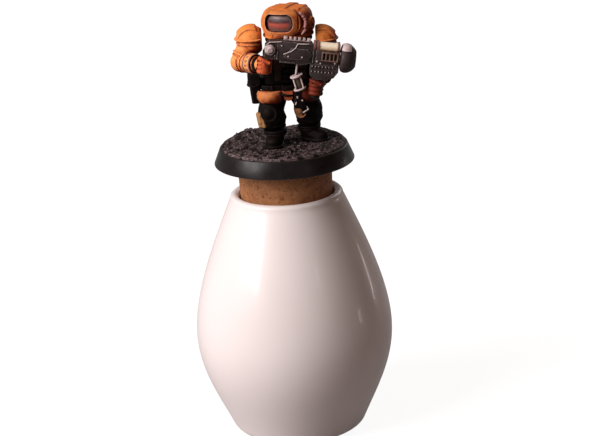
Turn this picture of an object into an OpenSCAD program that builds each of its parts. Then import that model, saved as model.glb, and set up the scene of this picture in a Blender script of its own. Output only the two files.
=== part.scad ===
// Painting handle for miniatures: a glossy egg-shaped grip with a cork that turns on a ball bearing
// in its mouth, and a painted multi-part figure held on the cork by a pad of tack.
// Millimetres. Origin at the middle of the foot, +Z up, the figure faces -Y.

/* [Grip] */
// Height of the shell, from the plane of its foot ring to the top of its lip
grip_h = 71.7; // [66:0.1:82]
// Largest diameter, at the girth
grip_girth_d = 57.4; // [52:0.2:66]
// Height of the girth above the foot ring
grip_girth_z = 29.6; // [26:0.2:34]
// Diameter of the flat foot ring
grip_foot_d = 31; // [30:0.2:36]
// Diameter of the lip, where the outer curve meets its rounding
grip_lip_d = 32.6; // [32.2:0.1:36]
// Thickness of the wall round the hollow
grip_wall = 4; // [3:0.1:5]
// Radius of the rounding at the foot
foot_round = 4.5; // [3:0.1:6]

/* [Cork] */
// Diameter at the top of the stopper
cork_top_d = 27.4; // [26.4:0.1:28.6]
// Diameter at the bottom of the stopper
cork_bottom_d = 25.3; // [24:0.1:26]
// Height of the stopper
cork_h = 23.6; // [21:0.1:28]
// Gap between the cork and the bore of the mouth, at the lip
mouth_gap = 0.3; // [0.2:0.05:0.5]
// Thickness of the pressed pad of tack
tack_t = 1.5; // [1:0.1:2.2]
// Diameter of the pad of tack
tack_d = 19; // [14:0.5:24]

/* [Bearing] */
// Outer diameter of the ball bearing
bearing_d = 22; // [22:0.5:23]
// Bore of the ball bearing
bearing_bore_d = 8; // [7:0.5:8]
// Width of the ball bearing
bearing_w = 7; // [6.6:0.1:8]
// Diameter of a ball
ball_d = 3.97; // [3.5:0.01:4]
// Number of balls
ball_count = 7; // [6:1:7]

/* [Ballast] */
// Diameter of the steel weight
ballast_d = 21; // [16:0.5:22]
// Height of the steel weight
ballast_h = 20; // [14:0.5:26]
// Thickness of the foot pad
pad_t = 1.2; // [1:0.1:2]
// How far the foot pad stands below the foot ring
pad_proud = 0.4; // [0.3:0.05:0.6]

/* [Figure base] */
// Diameter of the round base at its lower edge
base_d = 40; // [36:0.5:46]
// Diameter of the round base at its upper edge
base_top_d = 36.6; // [33:0.2:38]
// Height of the round base
base_h = 4.7; // [4.4:0.1:5.6]
// Thickness of the top of the round base
base_plate_t = 1.5; // [1:0.1:2]
// Thickness of the textured ground where the boots stand
ground_t = 0.8; // [0.5:0.1:1.4]

/* [Figure] */
// Height of a boot
boot_h = 4.6; // [4:0.1:5.4]
// Length of the shin, from the boot to the knee
shin_h = 5.2; // [4.4:0.1:6]
// Length of the thigh, from the knee to the hip
thigh_h = 4.2; // [3.8:0.1:5]
// Height of the hip block
hips_h = 3.4; // [2.8:0.1:4]
// Height of the torso
torso_h = 12; // [10.5:0.1:13.5]
// Width of the torso between the flat shoulder sockets
torso_w = 15; // [14.8:0.1:16]
// Depth of the torso
torso_depth = 9; // [8:0.1:9.6]
// Width of the helmet
helmet_w = 14.2; // [13.2:0.1:14.6]
// Height of the helmet above its collar
helmet_h = 8.3; // [7.9:0.1:9.6]
// Outer radius of a shoulder cap
cap_r = 4.6; // [4.5:0.1:5.2]
// Angle by which the head looks to the figure's right
head_turn = 24; // [0:1:40]

/* [Cutting tool] */
// Length of the tool from the rear of its housing to the tip of its nose
tool_l = 25.2; // [24:0.2:27]
// Width of the housing from side to side
tool_w = 4.4; // [3.8:0.1:5]
// Largest radius of the nose
nose_r = 4.1; // [3.7:0.1:4.4]
// Angle by which the tool points downwards
tool_dip = 9; // [6:0.5:11]
// Radius of the pale gas tube
tube_r = 1; // [0.8:0.05:1.1]

/* [Hidden] */
$fn = 48;

// Clearances that several pieces share
overrun = 0.5;         // how far a cut runs past the face that it opens
seat_gap = 0.01;       // pressed or screwed metal seats, on the radius
fit_gap = 0.1;         // loose seats of the foot plug, the peg and the screws
glue_gap = 0.03;       // glued joints of the figure
flange_gap = 0.4;      // under the turning flange of the spindle

// Colours
white_gloss = [0.93, 0.92, 0.90];
cork_tan = [0.68, 0.44, 0.24];
steel_grey = [0.62, 0.63, 0.65];
rubber_black = [0.12, 0.12, 0.13];
suit_orange = [0.84, 0.42, 0.12];
cloth_black = [0.11, 0.09, 0.09];
gun_dark = [0.17, 0.15, 0.16];
edge_silver = [0.72, 0.70, 0.68];
tube_cream = [0.86, 0.79, 0.58];
ground_brown = [0.31, 0.26, 0.25];

// Small helpers
function bezier(a, b, c, d, t) =
    pow(1 - t, 3) * a + 3 * pow(1 - t, 2) * t * b + 3 * (1 - t) * t * t * c + pow(t, 3) * d;
function arc(centre, r, from, to, steps) =
    [for (i = [0:steps]) let (a = from + (to - from) * i / steps) centre + r * [cos(a), sin(a)]];
function scaled(shares, size) = [for (s = shares) [s[0] * size[0], s[1] * size[1]]];

module along(from, to) {
    way = to - from;
    translate(from)
        rotate([0, acos(way[2] / norm(way)), atan2(way[1], way[0])])
            children();
}

module ring(outer_r, inner_r, h) {
    difference() {
        cylinder(r = outer_r, h = h);
        translate([0, 0, -overrun]) cylinder(r = inner_r, h = h + 2 * overrun);
    }
}

// The grip: heights of its seats, from the surface that the handle stands on
curve_steps = 14;
foot_z = pad_proud;                                  // foot ring of the shell
lip_z = foot_z + grip_h;
cork_sunk = 13;                                      // depth of the cork below the top of the lip
cork_in_share = cork_sunk / cork_h;
mouth_r = cork_bottom_d / 2 + (cork_top_d - cork_bottom_d) / 2 * cork_in_share + mouth_gap;
lip_round = (grip_lip_d / 2 - mouth_r) / 2;
spindle_flange_t = 1.5;
mouth_floor_z = lip_z - cork_sunk - spindle_flange_t - flange_gap;
bearing_z = mouth_floor_z - bearing_w;               // lower face of the bearing
shelf_t = 1.6;
shelf_w = 1.5;                                       // how far the shelf reaches in under the outer ring
plug_flange_t = 1.4;
plug_h = 5;
plug_r = 12;
plug_flange_w = 1;
hollow_floor_z = foot_z + pad_t - pad_proud + plug_h;
hollow_corner = 2.5;                                 // height of the slope from the floor to the wall
hollow_roof_drop = 9;                                // fall of the hollow's conical roof

// Outer curve, from the foot rounding to the lip, as two cubic curves that meet at the girth
foot_lift_shares = [0.97, 0.42];                     // end of the foot rounding, in foot_round
lower_pull_share = 0.37;                             // length of each tangent, in its stretch's height
upper_pull_shares = [0.31, 0.33];
flank_lean = [0.40, 0.92];                           // way that the lower flank leans
neck_lean = [-0.39, 0.92];                           // way that the neck leans
foot_end = [grip_foot_d / 2 + foot_round * foot_lift_shares[0], foot_z + foot_round * foot_lift_shares[1]];
girth = [grip_girth_d / 2, foot_z + grip_girth_z];
neck_end = [grip_lip_d / 2, lip_z - lip_round];
lower_rise = girth[1] - foot_end[1];
upper_rise = neck_end[1] - girth[1];
function lower_curve(t) = bezier(
    foot_end, foot_end + flank_lean * lower_pull_share * lower_rise,
    girth - [0, lower_pull_share * lower_rise], girth, t);
function upper_curve(t) = bezier(
    girth, girth + [0, upper_pull_shares[0] * upper_rise],
    neck_end - neck_lean * upper_pull_shares[1] * upper_rise, neck_end, t);
foot_curve = [for (i = [0:5]) bezier(
    [grip_foot_d / 2, foot_z], [grip_foot_d / 2 + foot_round / 2, foot_z],
    foot_end - flank_lean * foot_round / 3, foot_end, i / 5)];
outer_curve = concat(
    foot_curve,
    [for (i = [1:curve_steps]) lower_curve(i / curve_steps)],
    [for (i = [1:curve_steps]) upper_curve(i / curve_steps)]);
lip_arc = arc([mouth_r + lip_round, lip_z - lip_round], lip_round, 0, 180, 12);
roof_z = bearing_z - shelf_t - hollow_roof_drop;
wall_curve = [for (i = [len(outer_curve) - 1:-1:0])
    if (outer_curve[i][1] < roof_z && outer_curve[i][1] > hollow_floor_z + hollow_corner)
        outer_curve[i] - [grip_wall, 0]];

module grip_shell() {
    pocket_r = bearing_d / 2 + seat_gap;
    shelf_r = bearing_d / 2 - shelf_w;
    last_wall = wall_curve[len(wall_curve) - 1];
    color(white_gloss) rotate_extrude($fn = 120) polygon(concat(
        outer_curve,
        [for (i = [1:len(lip_arc) - 1]) lip_arc[i]],
        [
            [mouth_r, mouth_floor_z], [pocket_r, mouth_floor_z],
            [pocket_r, bearing_z], [shelf_r, bearing_z], [shelf_r, bearing_z - shelf_t]
        ],
        wall_curve,
        [
            [last_wall[0] - hollow_corner, hollow_floor_z],
            [plug_r, hollow_floor_z], [plug_r, foot_z + pad_t - pad_proud + plug_flange_t],
            [plug_r + plug_flange_w, foot_z + pad_t - pad_proud + plug_flange_t],
            [plug_r + plug_flange_w, foot_z]
        ]));
}

// The foot: a rubber pad under a plug that carries the steel weight
pad_inset = 0.8;
screw_r = 2;
screw_head_r = 3.8;
screw_head_h = 2.2;
ballast_screw_l = 12;
ballast_chamfer = 1;
ballast_groove = 0.6;
hex_key_share = 0.55;

module foot_pad() {
    color(rubber_black) cylinder(r = plug_r + plug_flange_w - pad_inset, h = pad_t, $fn = 96);
}

module foot_plug() {
    color(white_gloss) difference() {
        union() {
            translate([0, 0, pad_t])
                cylinder(r = plug_r + plug_flange_w - fit_gap, h = plug_flange_t, $fn = 96);
            translate([0, 0, pad_t]) cylinder(r = plug_r - fit_gap, h = plug_h, $fn = 96);
        }
        translate([0, 0, pad_t - overrun]) cylinder(r = screw_r + fit_gap, h = plug_h + 2 * overrun);
        translate([0, 0, pad_t])
            cylinder(r1 = screw_head_r + fit_gap, r2 = screw_r + fit_gap, h = screw_head_h);
    }
}

module ballast_weight() {
    low = pad_t + plug_h;
    r = ballast_d / 2;
    hole_l = ballast_screw_l - plug_h + 1.5 * screw_r;
    color(steel_grey) rotate_extrude($fn = 96) polygon([
        [screw_r + seat_gap, low], [r - ballast_chamfer, low], [r, low + ballast_chamfer],
        [r, low + ballast_h / 2 - ballast_groove], [r - ballast_groove, low + ballast_h / 2],
        [r, low + ballast_h / 2 + ballast_groove], [r, low + ballast_h - ballast_chamfer],
        [r - ballast_chamfer, low + ballast_h], [0, low + ballast_h],
        [0, low + hole_l], [screw_r + seat_gap, low + hole_l]
    ]);
}

module flat_head_screw(l, head_r, head_h, shank_r) {
    difference() {
        union() {
            cylinder(r1 = head_r, r2 = shank_r, h = head_h);
            cylinder(r = shank_r, h = l);
        }
        translate([0, 0, -overrun])
            cylinder(r = head_r * hex_key_share / 2, h = overrun + head_h * hex_key_share, $fn = 6);
    }
}

module ballast_screw() {
    color(steel_grey) translate([0, 0, pad_t])
        flat_head_screw(ballast_screw_l, screw_head_r, screw_head_h, screw_r);
}

// The ball bearing: two grooved rings, a crown cage, its balls and two shields
ball_gap = 0.04;
ball_pitch_r = (bearing_d + bearing_bore_d) / 4;
outer_land_r = ball_pitch_r + ball_d * 0.47;
inner_land_r = ball_pitch_r - ball_d * 0.47;
ring_round = 0.4;
shield_t = 0.3;
shield_inset = 0.25;
shield_seat = 0.3;
shield_gap = 0.25;
cage_w = 1.2;
cage_bridge = 0.5;
bearing_mid_z = bearing_z + bearing_w / 2;

module race_groove() {
    translate([0, 0, bearing_mid_z])
        rotate_extrude($fn = 96) translate([ball_pitch_r, 0]) circle(r = ball_d / 2 + ball_gap);
}

module bearing_outer_ring() {
    r = bearing_d / 2;
    top = bearing_z + bearing_w;
    seat_r = outer_land_r + shield_seat;
    seat_h = shield_inset + shield_t;
    color(steel_grey) difference() {
        rotate_extrude($fn = 96) polygon([
            [seat_r, bearing_z], [r - ring_round, bearing_z], [r, bearing_z + ring_round],
            [r, top - ring_round], [r - ring_round, top], [seat_r, top],
            [seat_r, top - seat_h], [outer_land_r, top - seat_h],
            [outer_land_r, bearing_z + seat_h], [seat_r, bearing_z + seat_h]
        ]);
        race_groove();
    }
}

module bearing_inner_ring() {
    r = bearing_bore_d / 2;
    top = bearing_z + bearing_w;
    color(steel_grey) difference() {
        rotate_extrude($fn = 96) polygon([
            [r + ring_round, bearing_z], [inner_land_r, bearing_z], [inner_land_r, top],
            [r + ring_round, top], [r, top - ring_round], [r, bearing_z + ring_round]
        ]);
        race_groove();
    }
}

module at_balls() {
    for (i = [0:ball_count - 1])
        rotate([0, 0, 360 * i / ball_count]) translate([ball_pitch_r, 0, bearing_mid_z]) children();
}

module bearing_balls() {
    color(edge_silver) at_balls() sphere(r = ball_d / 2);
}

module bearing_cage() {
    low_z = bearing_mid_z - ball_d / 4;
    bridge_z = bearing_mid_z + ball_d / 2 + ball_gap;
    color("DarkKhaki") difference() {
        translate([0, 0, low_z])
            ring(ball_pitch_r + cage_w / 2, ball_pitch_r - cage_w / 2, bridge_z + cage_bridge - low_z);
        at_balls() sphere(r = ball_d / 2 + ball_gap);
    }
}

module bearing_shields() {
    color(edge_silver) for (z = [bearing_z + shield_inset, bearing_z + bearing_w - shield_inset - shield_t])
        translate([0, 0, z])
            ring(outer_land_r + shield_seat - seat_gap, inner_land_r + shield_gap, shield_t);
}

// The spindle: a flange and a ribbed peg above the bearing, a stem through it
peg_r = 4;
peg_h = 10;
peg_rib = 0.35;
peg_rib_count = 3;
flange_r = 11.4;
boss_r = inner_land_r - 0.5 * ring_round;
washer_r = boss_r;
washer_t = 1.2;
stem_l = bearing_w - 0.5 * ring_round;
spindle_screw_l = 7;
pan_head_r = 3.5;
pan_head_h = 2.4;
stem_r = bearing_bore_d / 2 - seat_gap;
flange_z = mouth_floor_z + flange_gap;
peg_z = flange_z + spindle_flange_t;

module spindle() {
    rib_step = peg_h / (peg_rib_count + 1);
    hole_l = spindle_screw_l - washer_t + screw_r / 2;
    color(edge_silver) rotate_extrude($fn = 96) polygon(concat(
        [
            [screw_r + seat_gap, mouth_floor_z - stem_l], [stem_r, mouth_floor_z - stem_l],
            [stem_r, mouth_floor_z], [boss_r, mouth_floor_z], [boss_r, flange_z],
            [flange_r, flange_z], [flange_r, peg_z], [peg_r, peg_z]
        ],
        [for (i = [1:peg_rib_count]) each [
            [peg_r - peg_rib, peg_z + i * rib_step - peg_rib], [peg_r, peg_z + i * rib_step]
        ]],
        [
            [peg_r - peg_rib, peg_z + peg_h - peg_rib], [peg_r - 2 * peg_rib, peg_z + peg_h],
            [0, peg_z + peg_h],
            [0, mouth_floor_z - stem_l + hole_l], [screw_r + seat_gap, mouth_floor_z - stem_l + hole_l]
        ]));
}

module spindle_washer() {
    color(steel_grey) translate([0, 0, bearing_z - washer_t]) ring(washer_r, screw_r + fit_gap, washer_t);
}

module spindle_screw() {
    color(steel_grey) translate([0, 0, bearing_z - washer_t]) difference() {
        union() {
            cylinder(r = screw_r, h = spindle_screw_l);
            translate([0, 0, -pan_head_h])
                cylinder(r1 = pan_head_r - ring_round, r2 = pan_head_r, h = pan_head_h);
        }
        translate([0, 0, -pan_head_h - overrun])
            cylinder(r = screw_r, h = overrun + pan_head_h * hex_key_share, $fn = 6);
    }
}

// The cork, with its blind hole for the peg, and the tack
cork_chamfer = 0.5;
cork_top_z = peg_z + cork_h;
cork_hole_spare = 0.6;

module cork_stopper() {
    top_r = cork_top_d / 2;
    low_r = cork_bottom_d / 2;
    color(cork_tan) difference() {
        rotate_extrude($fn = 96) polygon([
            [0, peg_z], [low_r - cork_chamfer, peg_z], [low_r, peg_z + cork_chamfer],
            [top_r, cork_top_z - cork_chamfer], [top_r - cork_chamfer, cork_top_z], [0, cork_top_z]
        ]);
        translate([0, 0, peg_z - overrun])
            cylinder(r = peg_r + seat_gap, h = overrun + peg_h + cork_hole_spare, $fn = 96);
    }
}

module tack_pad() {
    squeeze = tack_t / 2;
    color("SkyBlue") translate([0, 0, cork_top_z]) rotate_extrude($fn = 64) polygon(concat(
        [[0, 0]],
        arc([tack_d / 2 - squeeze, squeeze], squeeze, -90, 90, 8),
        [[0, tack_t]]));
}

// The round base: a bevelled disc, hollow underneath, whose recess covers the top of the cork
base_rim_w = 2.2;
base_edge = 0.3;
base_top_z = cork_top_z + tack_t + base_plate_t;
base_low_z = base_top_z - base_h;

module base_disc() {
    low_r = base_d / 2;
    top_r = base_top_d / 2;
    recess_h = base_h - base_plate_t;
    slope = (low_r - top_r) / base_h;
    color(rubber_black) translate([0, 0, base_low_z]) rotate_extrude($fn = 120) polygon([
        [low_r - base_rim_w, 0], [low_r - base_edge, 0], [low_r, base_edge],
        [top_r + slope * base_edge, base_h - base_edge], [top_r - base_edge, base_h], [0, base_h],
        [0, recess_h], [low_r - base_rim_w - slope * recess_h, recess_h]
    ]);
}

// The figure: heights of its joints above the top of the base, and its place on the base
figure_x = 3.2;
sole_z = ground_t + glue_gap;
boot_top_z = sole_z + boot_h;
knee_z = boot_top_z + shin_h;
hip_z = knee_z + thigh_h;
waist_z = hip_z + hips_h;
neck_z = waist_z + torso_h;
// Places of the feet and knees, in torso_w from the figure's axis
right_foot_shares = [-0.35, -0.19];
left_foot_shares = [0.29, 0.03];
right_knee_shares = [-0.41, -0.16];
left_knee_shares = [0.315, -0.07];
figure_axis = [figure_x, 0];
right_foot_at = figure_axis + right_foot_shares * torso_w;
left_foot_at = figure_axis + left_foot_shares * torso_w;
right_knee_at = figure_axis + right_knee_shares * torso_w;
left_knee_at = figure_axis + left_knee_shares * torso_w;
hip_spread = 4.1;
hip_shift = 1;                                       // the hips lean to the figure's right
hip_x = figure_x - hip_shift;
right_foot_turn = 10;
left_foot_turn = -58;

module on_base() {
    translate([0, 0, base_top_z]) children();
}

function on_hip(side) = [hip_x + side * hip_spread, 0, hip_z];
function up(point, z) = [point[0], point[1], z];

// The ground: a disc of basing paste with a gritty top that is level where the boots stand
ground_rim = 0.8;
ground_rings = 13;
ground_sectors = 40;
grit_h = 0.7;
level_r = 6;
level_fade = 2.4;
ground_r = base_top_d / 2 - ground_rim;

function near(x, y, at) = norm([x, y] - at);
function level(x, y) = min(1, max(0,
    (min(near(x, y, right_foot_at), near(x, y, left_foot_at)) - level_r) / level_fade));
function grit(x, y, ring_share) =
    ground_t + grit_h * level(x, y) * (1 - pow(ring_share, 6))
    * (sin(97 * x / ground_t + 31) * cos(71 * y / ground_t) + 0.6 * sin(143 * (x + y) / ground_t)
        + 0.4 * cos(211 * (x - y) / ground_t)) / 2;

module ground_layer() {
    n = ground_sectors;
    tops = [for (k = [1:ground_rings]) for (i = [0:n - 1])
        let (s = k / ground_rings, x = ground_r * s * cos(360 * i / n), y = ground_r * s * sin(360 * i / n))
            [x, y, grit(x, y, s)]];
    rim = [for (i = [0:n - 1]) [ground_r * cos(360 * i / n), ground_r * sin(360 * i / n), 0]];
    points = concat([[0, 0, ground_t]], tops, rim, [[0, 0, 0]]);
    last = len(points) - 1;
    fan = [for (i = [0:n - 1]) [0, 1 + (i + 1) % n, 1 + i]];
    quads = [for (k = [0:ground_rings - 1]) for (i = [0:n - 1])
        let (a = 1 + k * n + i, b = 1 + k * n + (i + 1) % n) each [[a, b, b + n], [a, b + n, a + n]]];
    floor_fan = [for (i = [0:n - 1]) [last, last - n + i, last - n + (i + 1) % n]];
    color(ground_brown) on_base() polyhedron(points, concat(fan, quads, floor_fan));
}

stone_place_shares = [[-0.71, -0.35], [-0.55, 0.52], [0.64, -0.59], [0.1, -0.73], [0.18, 0.7], [-0.8, 0.18]];
stone_size_shares = [0.085, 0.11, 0.075, 0.063, 0.09, 0.07];

module ground_stones() {
    color("DimGray") on_base() for (i = [0:len(stone_place_shares) - 1]) {
        place = stone_place_shares[i] * ground_r;
        r = stone_size_shares[i] * ground_r;
        translate([place[0], place[1], ground_t + grit_h + glue_gap])
            rotate([0, 0, 53 * i]) difference() {
                scale([1, 0.8, 0.6]) sphere(r = r, $fn = 8);
                translate([0, 0, -r]) cube([3 * r, 3 * r, 2 * r], center = true);
            }
    }
}

// Boots: a treaded sole, a rounded toe and a cuff
sole_t = 0.9;
boot_l = 9.2;
boot_w = 5.2;
ankle_r = 2.7;
cuff_r = 3.2;
cuff_h = 1.2;
heel_share = 0.33;
heel_narrow_share = 0.86;
toe_r_share = 0.4;
toe_flat_share = 0.72;                               // height of the toe in its width
tread_bars = 5;
heel_y = boot_l * heel_share;
toe_y = heel_y - boot_l;

module boot_outline(shrink) {
    hull() {
        translate([0, heel_y - boot_w / 2]) circle(r = boot_w / 2 * heel_narrow_share - shrink);
        translate([0, toe_y + boot_w / 2]) circle(r = boot_w / 2 - shrink);
    }
}

module boot() {
    upper_h = boot_h - sole_t - cuff_h;
    toe_r = boot_w * toe_r_share;
    difference() {
        linear_extrude(sole_t) boot_outline(0);
        for (i = [0:tread_bars - 1])
            translate([-boot_w, heel_y - boot_l * (i + 0.5) / tread_bars - sole_t / 4, -overrun])
                cube([2 * boot_w, sole_t / 2, overrun + sole_t / 3]);
    }
    hull() {
        translate([0, 0, sole_t]) linear_extrude(sole_t / 2) boot_outline(sole_t / 3);
        translate([0, 0, sole_t + upper_h - overrun]) cylinder(r = ankle_r, h = overrun, $fn = 24);
        translate([0, toe_y + toe_r * 1.1, sole_t / 2 + toe_r * toe_flat_share])
            scale([1, 1, toe_flat_share]) sphere(r = toe_r, $fn = 20);
    }
    translate([0, 0, boot_h - cuff_h]) cylinder(r = cuff_r, h = cuff_h);
}

module right_boot() {
    color(cloth_black) on_base()
        translate(up(right_foot_at, sole_z)) rotate([0, 0, -right_foot_turn]) boot();
}

module left_boot() {
    color(cloth_black) on_base()
        translate(up(left_foot_at, sole_z)) rotate([0, 0, -left_foot_turn]) boot();
}

// Legs: a calf that swells above the boot, a ball at the knee, and a thigh up to a flat hip joint
calf_r = 3.9;
knee_r = 3.7;
thigh_low_r = 3.5;
thigh_top_r = 3.9;
joint_share = 0.96;                                  // how a limb narrows where it enters a joint's ball

module leg_form(foot, knee, hip, grow) {
    ankle = up(foot, boot_top_z);
    bend = up(knee, knee_z);
    along(ankle, bend) {
        half = norm(bend - ankle) / 2;
        cylinder(r1 = ankle_r + grow, r2 = calf_r + grow, h = half);
        translate([0, 0, half]) cylinder(r1 = calf_r + grow, r2 = knee_r * joint_share + grow, h = half);
    }
    translate(bend) sphere(r = knee_r + grow);
    along(bend, hip)
        cylinder(r1 = thigh_low_r + grow, r2 = thigh_top_r + grow, h = norm(hip - bend) + overrun);
}

module leg(foot, knee, hip) {
    h = hip_z - boot_top_z - 2 * glue_gap;
    intersection() {
        leg_form(foot, knee, hip, 0);
        translate([figure_x, 0, boot_top_z + glue_gap + h / 2])
            cube([4 * torso_w, 4 * torso_w, h], center = true);
    }
}

module right_leg() {
    color(cloth_black) on_base() leg(right_foot_at, right_knee_at, on_hip(-1));
}

module left_leg() {
    color(cloth_black) on_base() leg(left_foot_at, left_knee_at, on_hip(1));
}

// Knee pads: bowls that sit on the front of the knees
knee_pad_r = 2.3;
knee_pad_t = 0.8;

module knee_pad_form(knee, turn, grow) {
    translate(up(knee, knee_z)) rotate([0, 0, turn]) intersection() {
        sphere(r = knee_r + knee_pad_t + grow);
        rotate([90, 0, 0]) cylinder(r = knee_pad_r + grow, h = 2 * knee_r);
    }
}

module knee_pad(foot, knee, hip, turn) {
    difference() {
        knee_pad_form(knee, turn, 0);
        leg_form(foot, knee, hip, glue_gap);
    }
}

module right_knee_pad() {
    color(gun_dark) on_base() knee_pad(right_foot_at, right_knee_at, on_hip(-1), -right_foot_turn);
}

module left_knee_pad() {
    color("SaddleBrown") on_base() knee_pad(left_foot_at, left_knee_at, on_hip(1), left_foot_turn);
}

// Thigh plates: crowned plates that hang from the belt over the hips and the tops of the knees
plate_size = [9.4, 12, 7.4];                         // across, front to back and up, as an ellipsoid
plate_y = -0.6;                                      // middle of the ellipsoid, from the figure's axis
plate_low = 2.4;                                     // lower edge, below the hip joint
plate_back = 3.3;                                    // rear edge, before the figure's axis

module thigh_plate(side, foot, knee, hip) {
    middle = hip_x + side * (loin_w / 2 + glue_gap + plate_size[0] / 2);
    intersection() {
        translate(hip + [side * plate_size[0] / 16, plate_y, plate_size[2] / 12])
            scale(plate_size / 2) sphere(r = 1, $fn = 64);
        translate([middle - plate_size[0] / 2, -plate_size[1], hip_z - plate_low])
            cube([plate_size[0], plate_size[1] - plate_back, plate_low + hips_h - belt_h - glue_gap]);
        difference() {
            translate(hip) cube(3 * plate_size, center = true);
            hips_form(glue_gap);
            leg_form(foot, knee, hip, glue_gap);
            knee_pad_form(knee, side < 0 ? -right_foot_turn : left_foot_turn, glue_gap);
        }
    }
}

module right_thigh_plate() {
    color(suit_orange) on_base() thigh_plate(-1, right_foot_at, right_knee_at, on_hip(-1));
}

module left_thigh_plate() {
    color(suit_orange) on_base() thigh_plate(1, left_foot_at, left_knee_at, on_hip(1));
}

// Hips, with the belt above them
hips_w = 14.4;
hips_depth = 8;
hips_round = 2.4;
hips_low_share = 0.92;
belt_h = 1.4;
belt_t = 0.5;

module block(x0, w, depth, r, z, h) {
    translate([x0, 0, z]) linear_extrude(h) hull()
        for (x = [-1, 1]) for (y = [-1, 1])
            translate([x * (w / 2 - r), y * (depth / 2 - r)]) circle(r = r, $fn = 20);
}

module hips_form(grow) {
    slice = hips_h / 8;
    hull() {
        block(hip_x, hips_w * hips_low_share + 2 * grow, hips_depth * hips_low_share + 2 * grow,
            hips_round + grow, hip_z - grow, slice);
        block(hip_x, hips_w + 2 * grow, hips_depth + 2 * grow,
            hips_round + grow, waist_z - belt_h - glue_gap - slice, slice);
    }
}

module hips() {
    color(cloth_black) on_base() hips_form(0);
}

module belt() {
    buckle_w = 3;
    buckle_h = belt_h * 0.9;
    color(gun_dark) on_base() union() {
        block(hip_x, hips_w + 2 * belt_t, hips_depth + 2 * belt_t, hips_round + belt_t,
            waist_z - belt_h, belt_h);
        translate([hip_x - buckle_w / 2, -hips_depth / 2 - 2 * belt_t, waist_z - belt_h / 2 - buckle_h / 2])
            cube([buckle_w, 2 * belt_t, buckle_h]);
    }
}

pouch_w = 2.6;
pouch_h = 3;
pouch_t = 1.5;

module pouch() {
    flap_h = pouch_h * 0.4;
    translate([-pouch_w / 2, glue_gap, -pouch_h]) cube([pouch_w, pouch_t - 0.15 * pouch_t, pouch_h]);
    translate([-pouch_w / 2 - pouch_t / 12, glue_gap, -flap_h])
        cube([pouch_w + pouch_t / 6, pouch_t, flap_h]);
}

module belt_pouches() {
    color("Sienna") on_base() translate([hip_x, 0, waist_z - glue_gap]) {
        rotate([0, 0, -90]) translate([0, hips_w / 2 + belt_t]) pouch();
        for (side = [-1, 1]) translate([side * pouch_w, hips_depth / 2 + belt_t]) pouch();
    }
}

// A holster on the figure's right hip: a tapered case with a flap over its top
holster_w = 6;
holster_t = 3.2;
holster_h = 8.6;
holster_rise = 3;                                    // how far it stands above the belt
holster_round = 1.1;
holster_low_share = 0.66;
flap_share = 0.34;
flap_t = 0.3;
holster_y = 0.4;
hanger_w = 3.4;                                      // a strap from the holster's top to the torso
hanger_l = 1.1;                                      // how far the strap runs over the holster
holster_x = min(hip_x - hips_w / 2 - belt_t, figure_x - torso_w / 2 - glue_gap);

module holster_slice(share, grow, z, h) {
    w = holster_w * share + 2 * grow;
    t = holster_t * (1 + share) / 2 + grow;
    translate([-t - glue_gap, 0, z]) linear_extrude(h) hull() for (y = [-1, 1]) {
        translate([holster_round, y * (w / 2 - holster_round)]) circle(r = holster_round, $fn = 20);
        translate([t - holster_round, y * (w / 2 - holster_round)])
            square([2 * holster_round, 2 * holster_round], center = true);
    }
}

module holster() {
    slice = holster_h / 12;
    top = waist_z + holster_rise;
    at = [holster_x, holster_y, 0];
    reach = figure_x - torso_w / 2 - glue_gap - holster_x;
    color(rubber_black) on_base() difference() {
        translate(at) {
            hull() {
                holster_slice(holster_low_share, 0, top - holster_h, slice);
                holster_slice(1, 0, top - 2 * slice, slice);
            }
            hull() {
                holster_slice(1, flap_t, top - holster_h * flap_share, slice);
                holster_slice(1, flap_t, top - slice, slice);
            }
            translate([-hanger_l, -hanger_w / 2, waist_z + glue_gap])
                cube([hanger_l + reach, hanger_w, holster_rise - 2 * slice]);
        }
        leg_form(right_foot_at, right_knee_at, on_hip(-1), glue_gap);
    }
}

// A short guard of plate that hangs from the middle of the belt
loin_w = 4;
loin_h = 3;
loin_t = 0.9;
loin_low_r = 1.3;

module loin_guard() {
    drop = waist_z - belt_h - glue_gap;
    color(suit_orange) on_base()
        translate([hip_x, -hips_depth / 2 - glue_gap, drop]) rotate([90, 0, 0])
            linear_extrude(loin_t) hull() {
                translate([-loin_w / 2, -loin_h / 4]) square([loin_w, loin_h / 4]);
                translate([0, loin_low_r - loin_h]) circle(r = loin_low_r, $fn = 32);
            }
}

// Torso: a barrel that is widest at the chest, in two glued halves with flat shoulder sockets
waist_w_share = 0.9;
waist_depth_share = 0.84;
chest_z_share = 0.62;
top_w_share = 0.74;
top_depth_share = 0.76;
chest_over = 1;                                      // width that the flat sockets cut off
torso_round = 2.2;

module torso_form(grow) {
    h = torso_h - glue_gap;
    slice = torso_h / 24;
    hull() {
        block(hip_x + hip_shift / 3, torso_w * waist_w_share + 2 * grow,
            torso_depth * waist_depth_share + 2 * grow, torso_round + grow, waist_z + glue_gap, slice);
        block(figure_x, torso_w + chest_over + 2 * grow, torso_depth + 2 * grow,
            torso_round + grow, waist_z + h * chest_z_share, slice);
        block(figure_x, torso_w * top_w_share + 2 * grow, torso_depth * top_depth_share + 2 * grow,
            torso_round + grow, waist_z + glue_gap + h - slice, slice);
    }
}

module torso_half(side) {
    intersection() {
        torso_form(0);
        translate([figure_x, side * (torso_depth + glue_gap), waist_z + torso_h / 2])
            cube([torso_w, 2 * torso_depth + glue_gap, 2 * torso_h], center = true);
    }
}

module torso_front() {
    color(cloth_black) on_base() torso_half(-1);
}

module torso_back() {
    color(cloth_black) on_base() torso_half(1);
}

strap_w = 1.7;
strap_t = 0.55;
strap_spread = 3.6;

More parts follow.
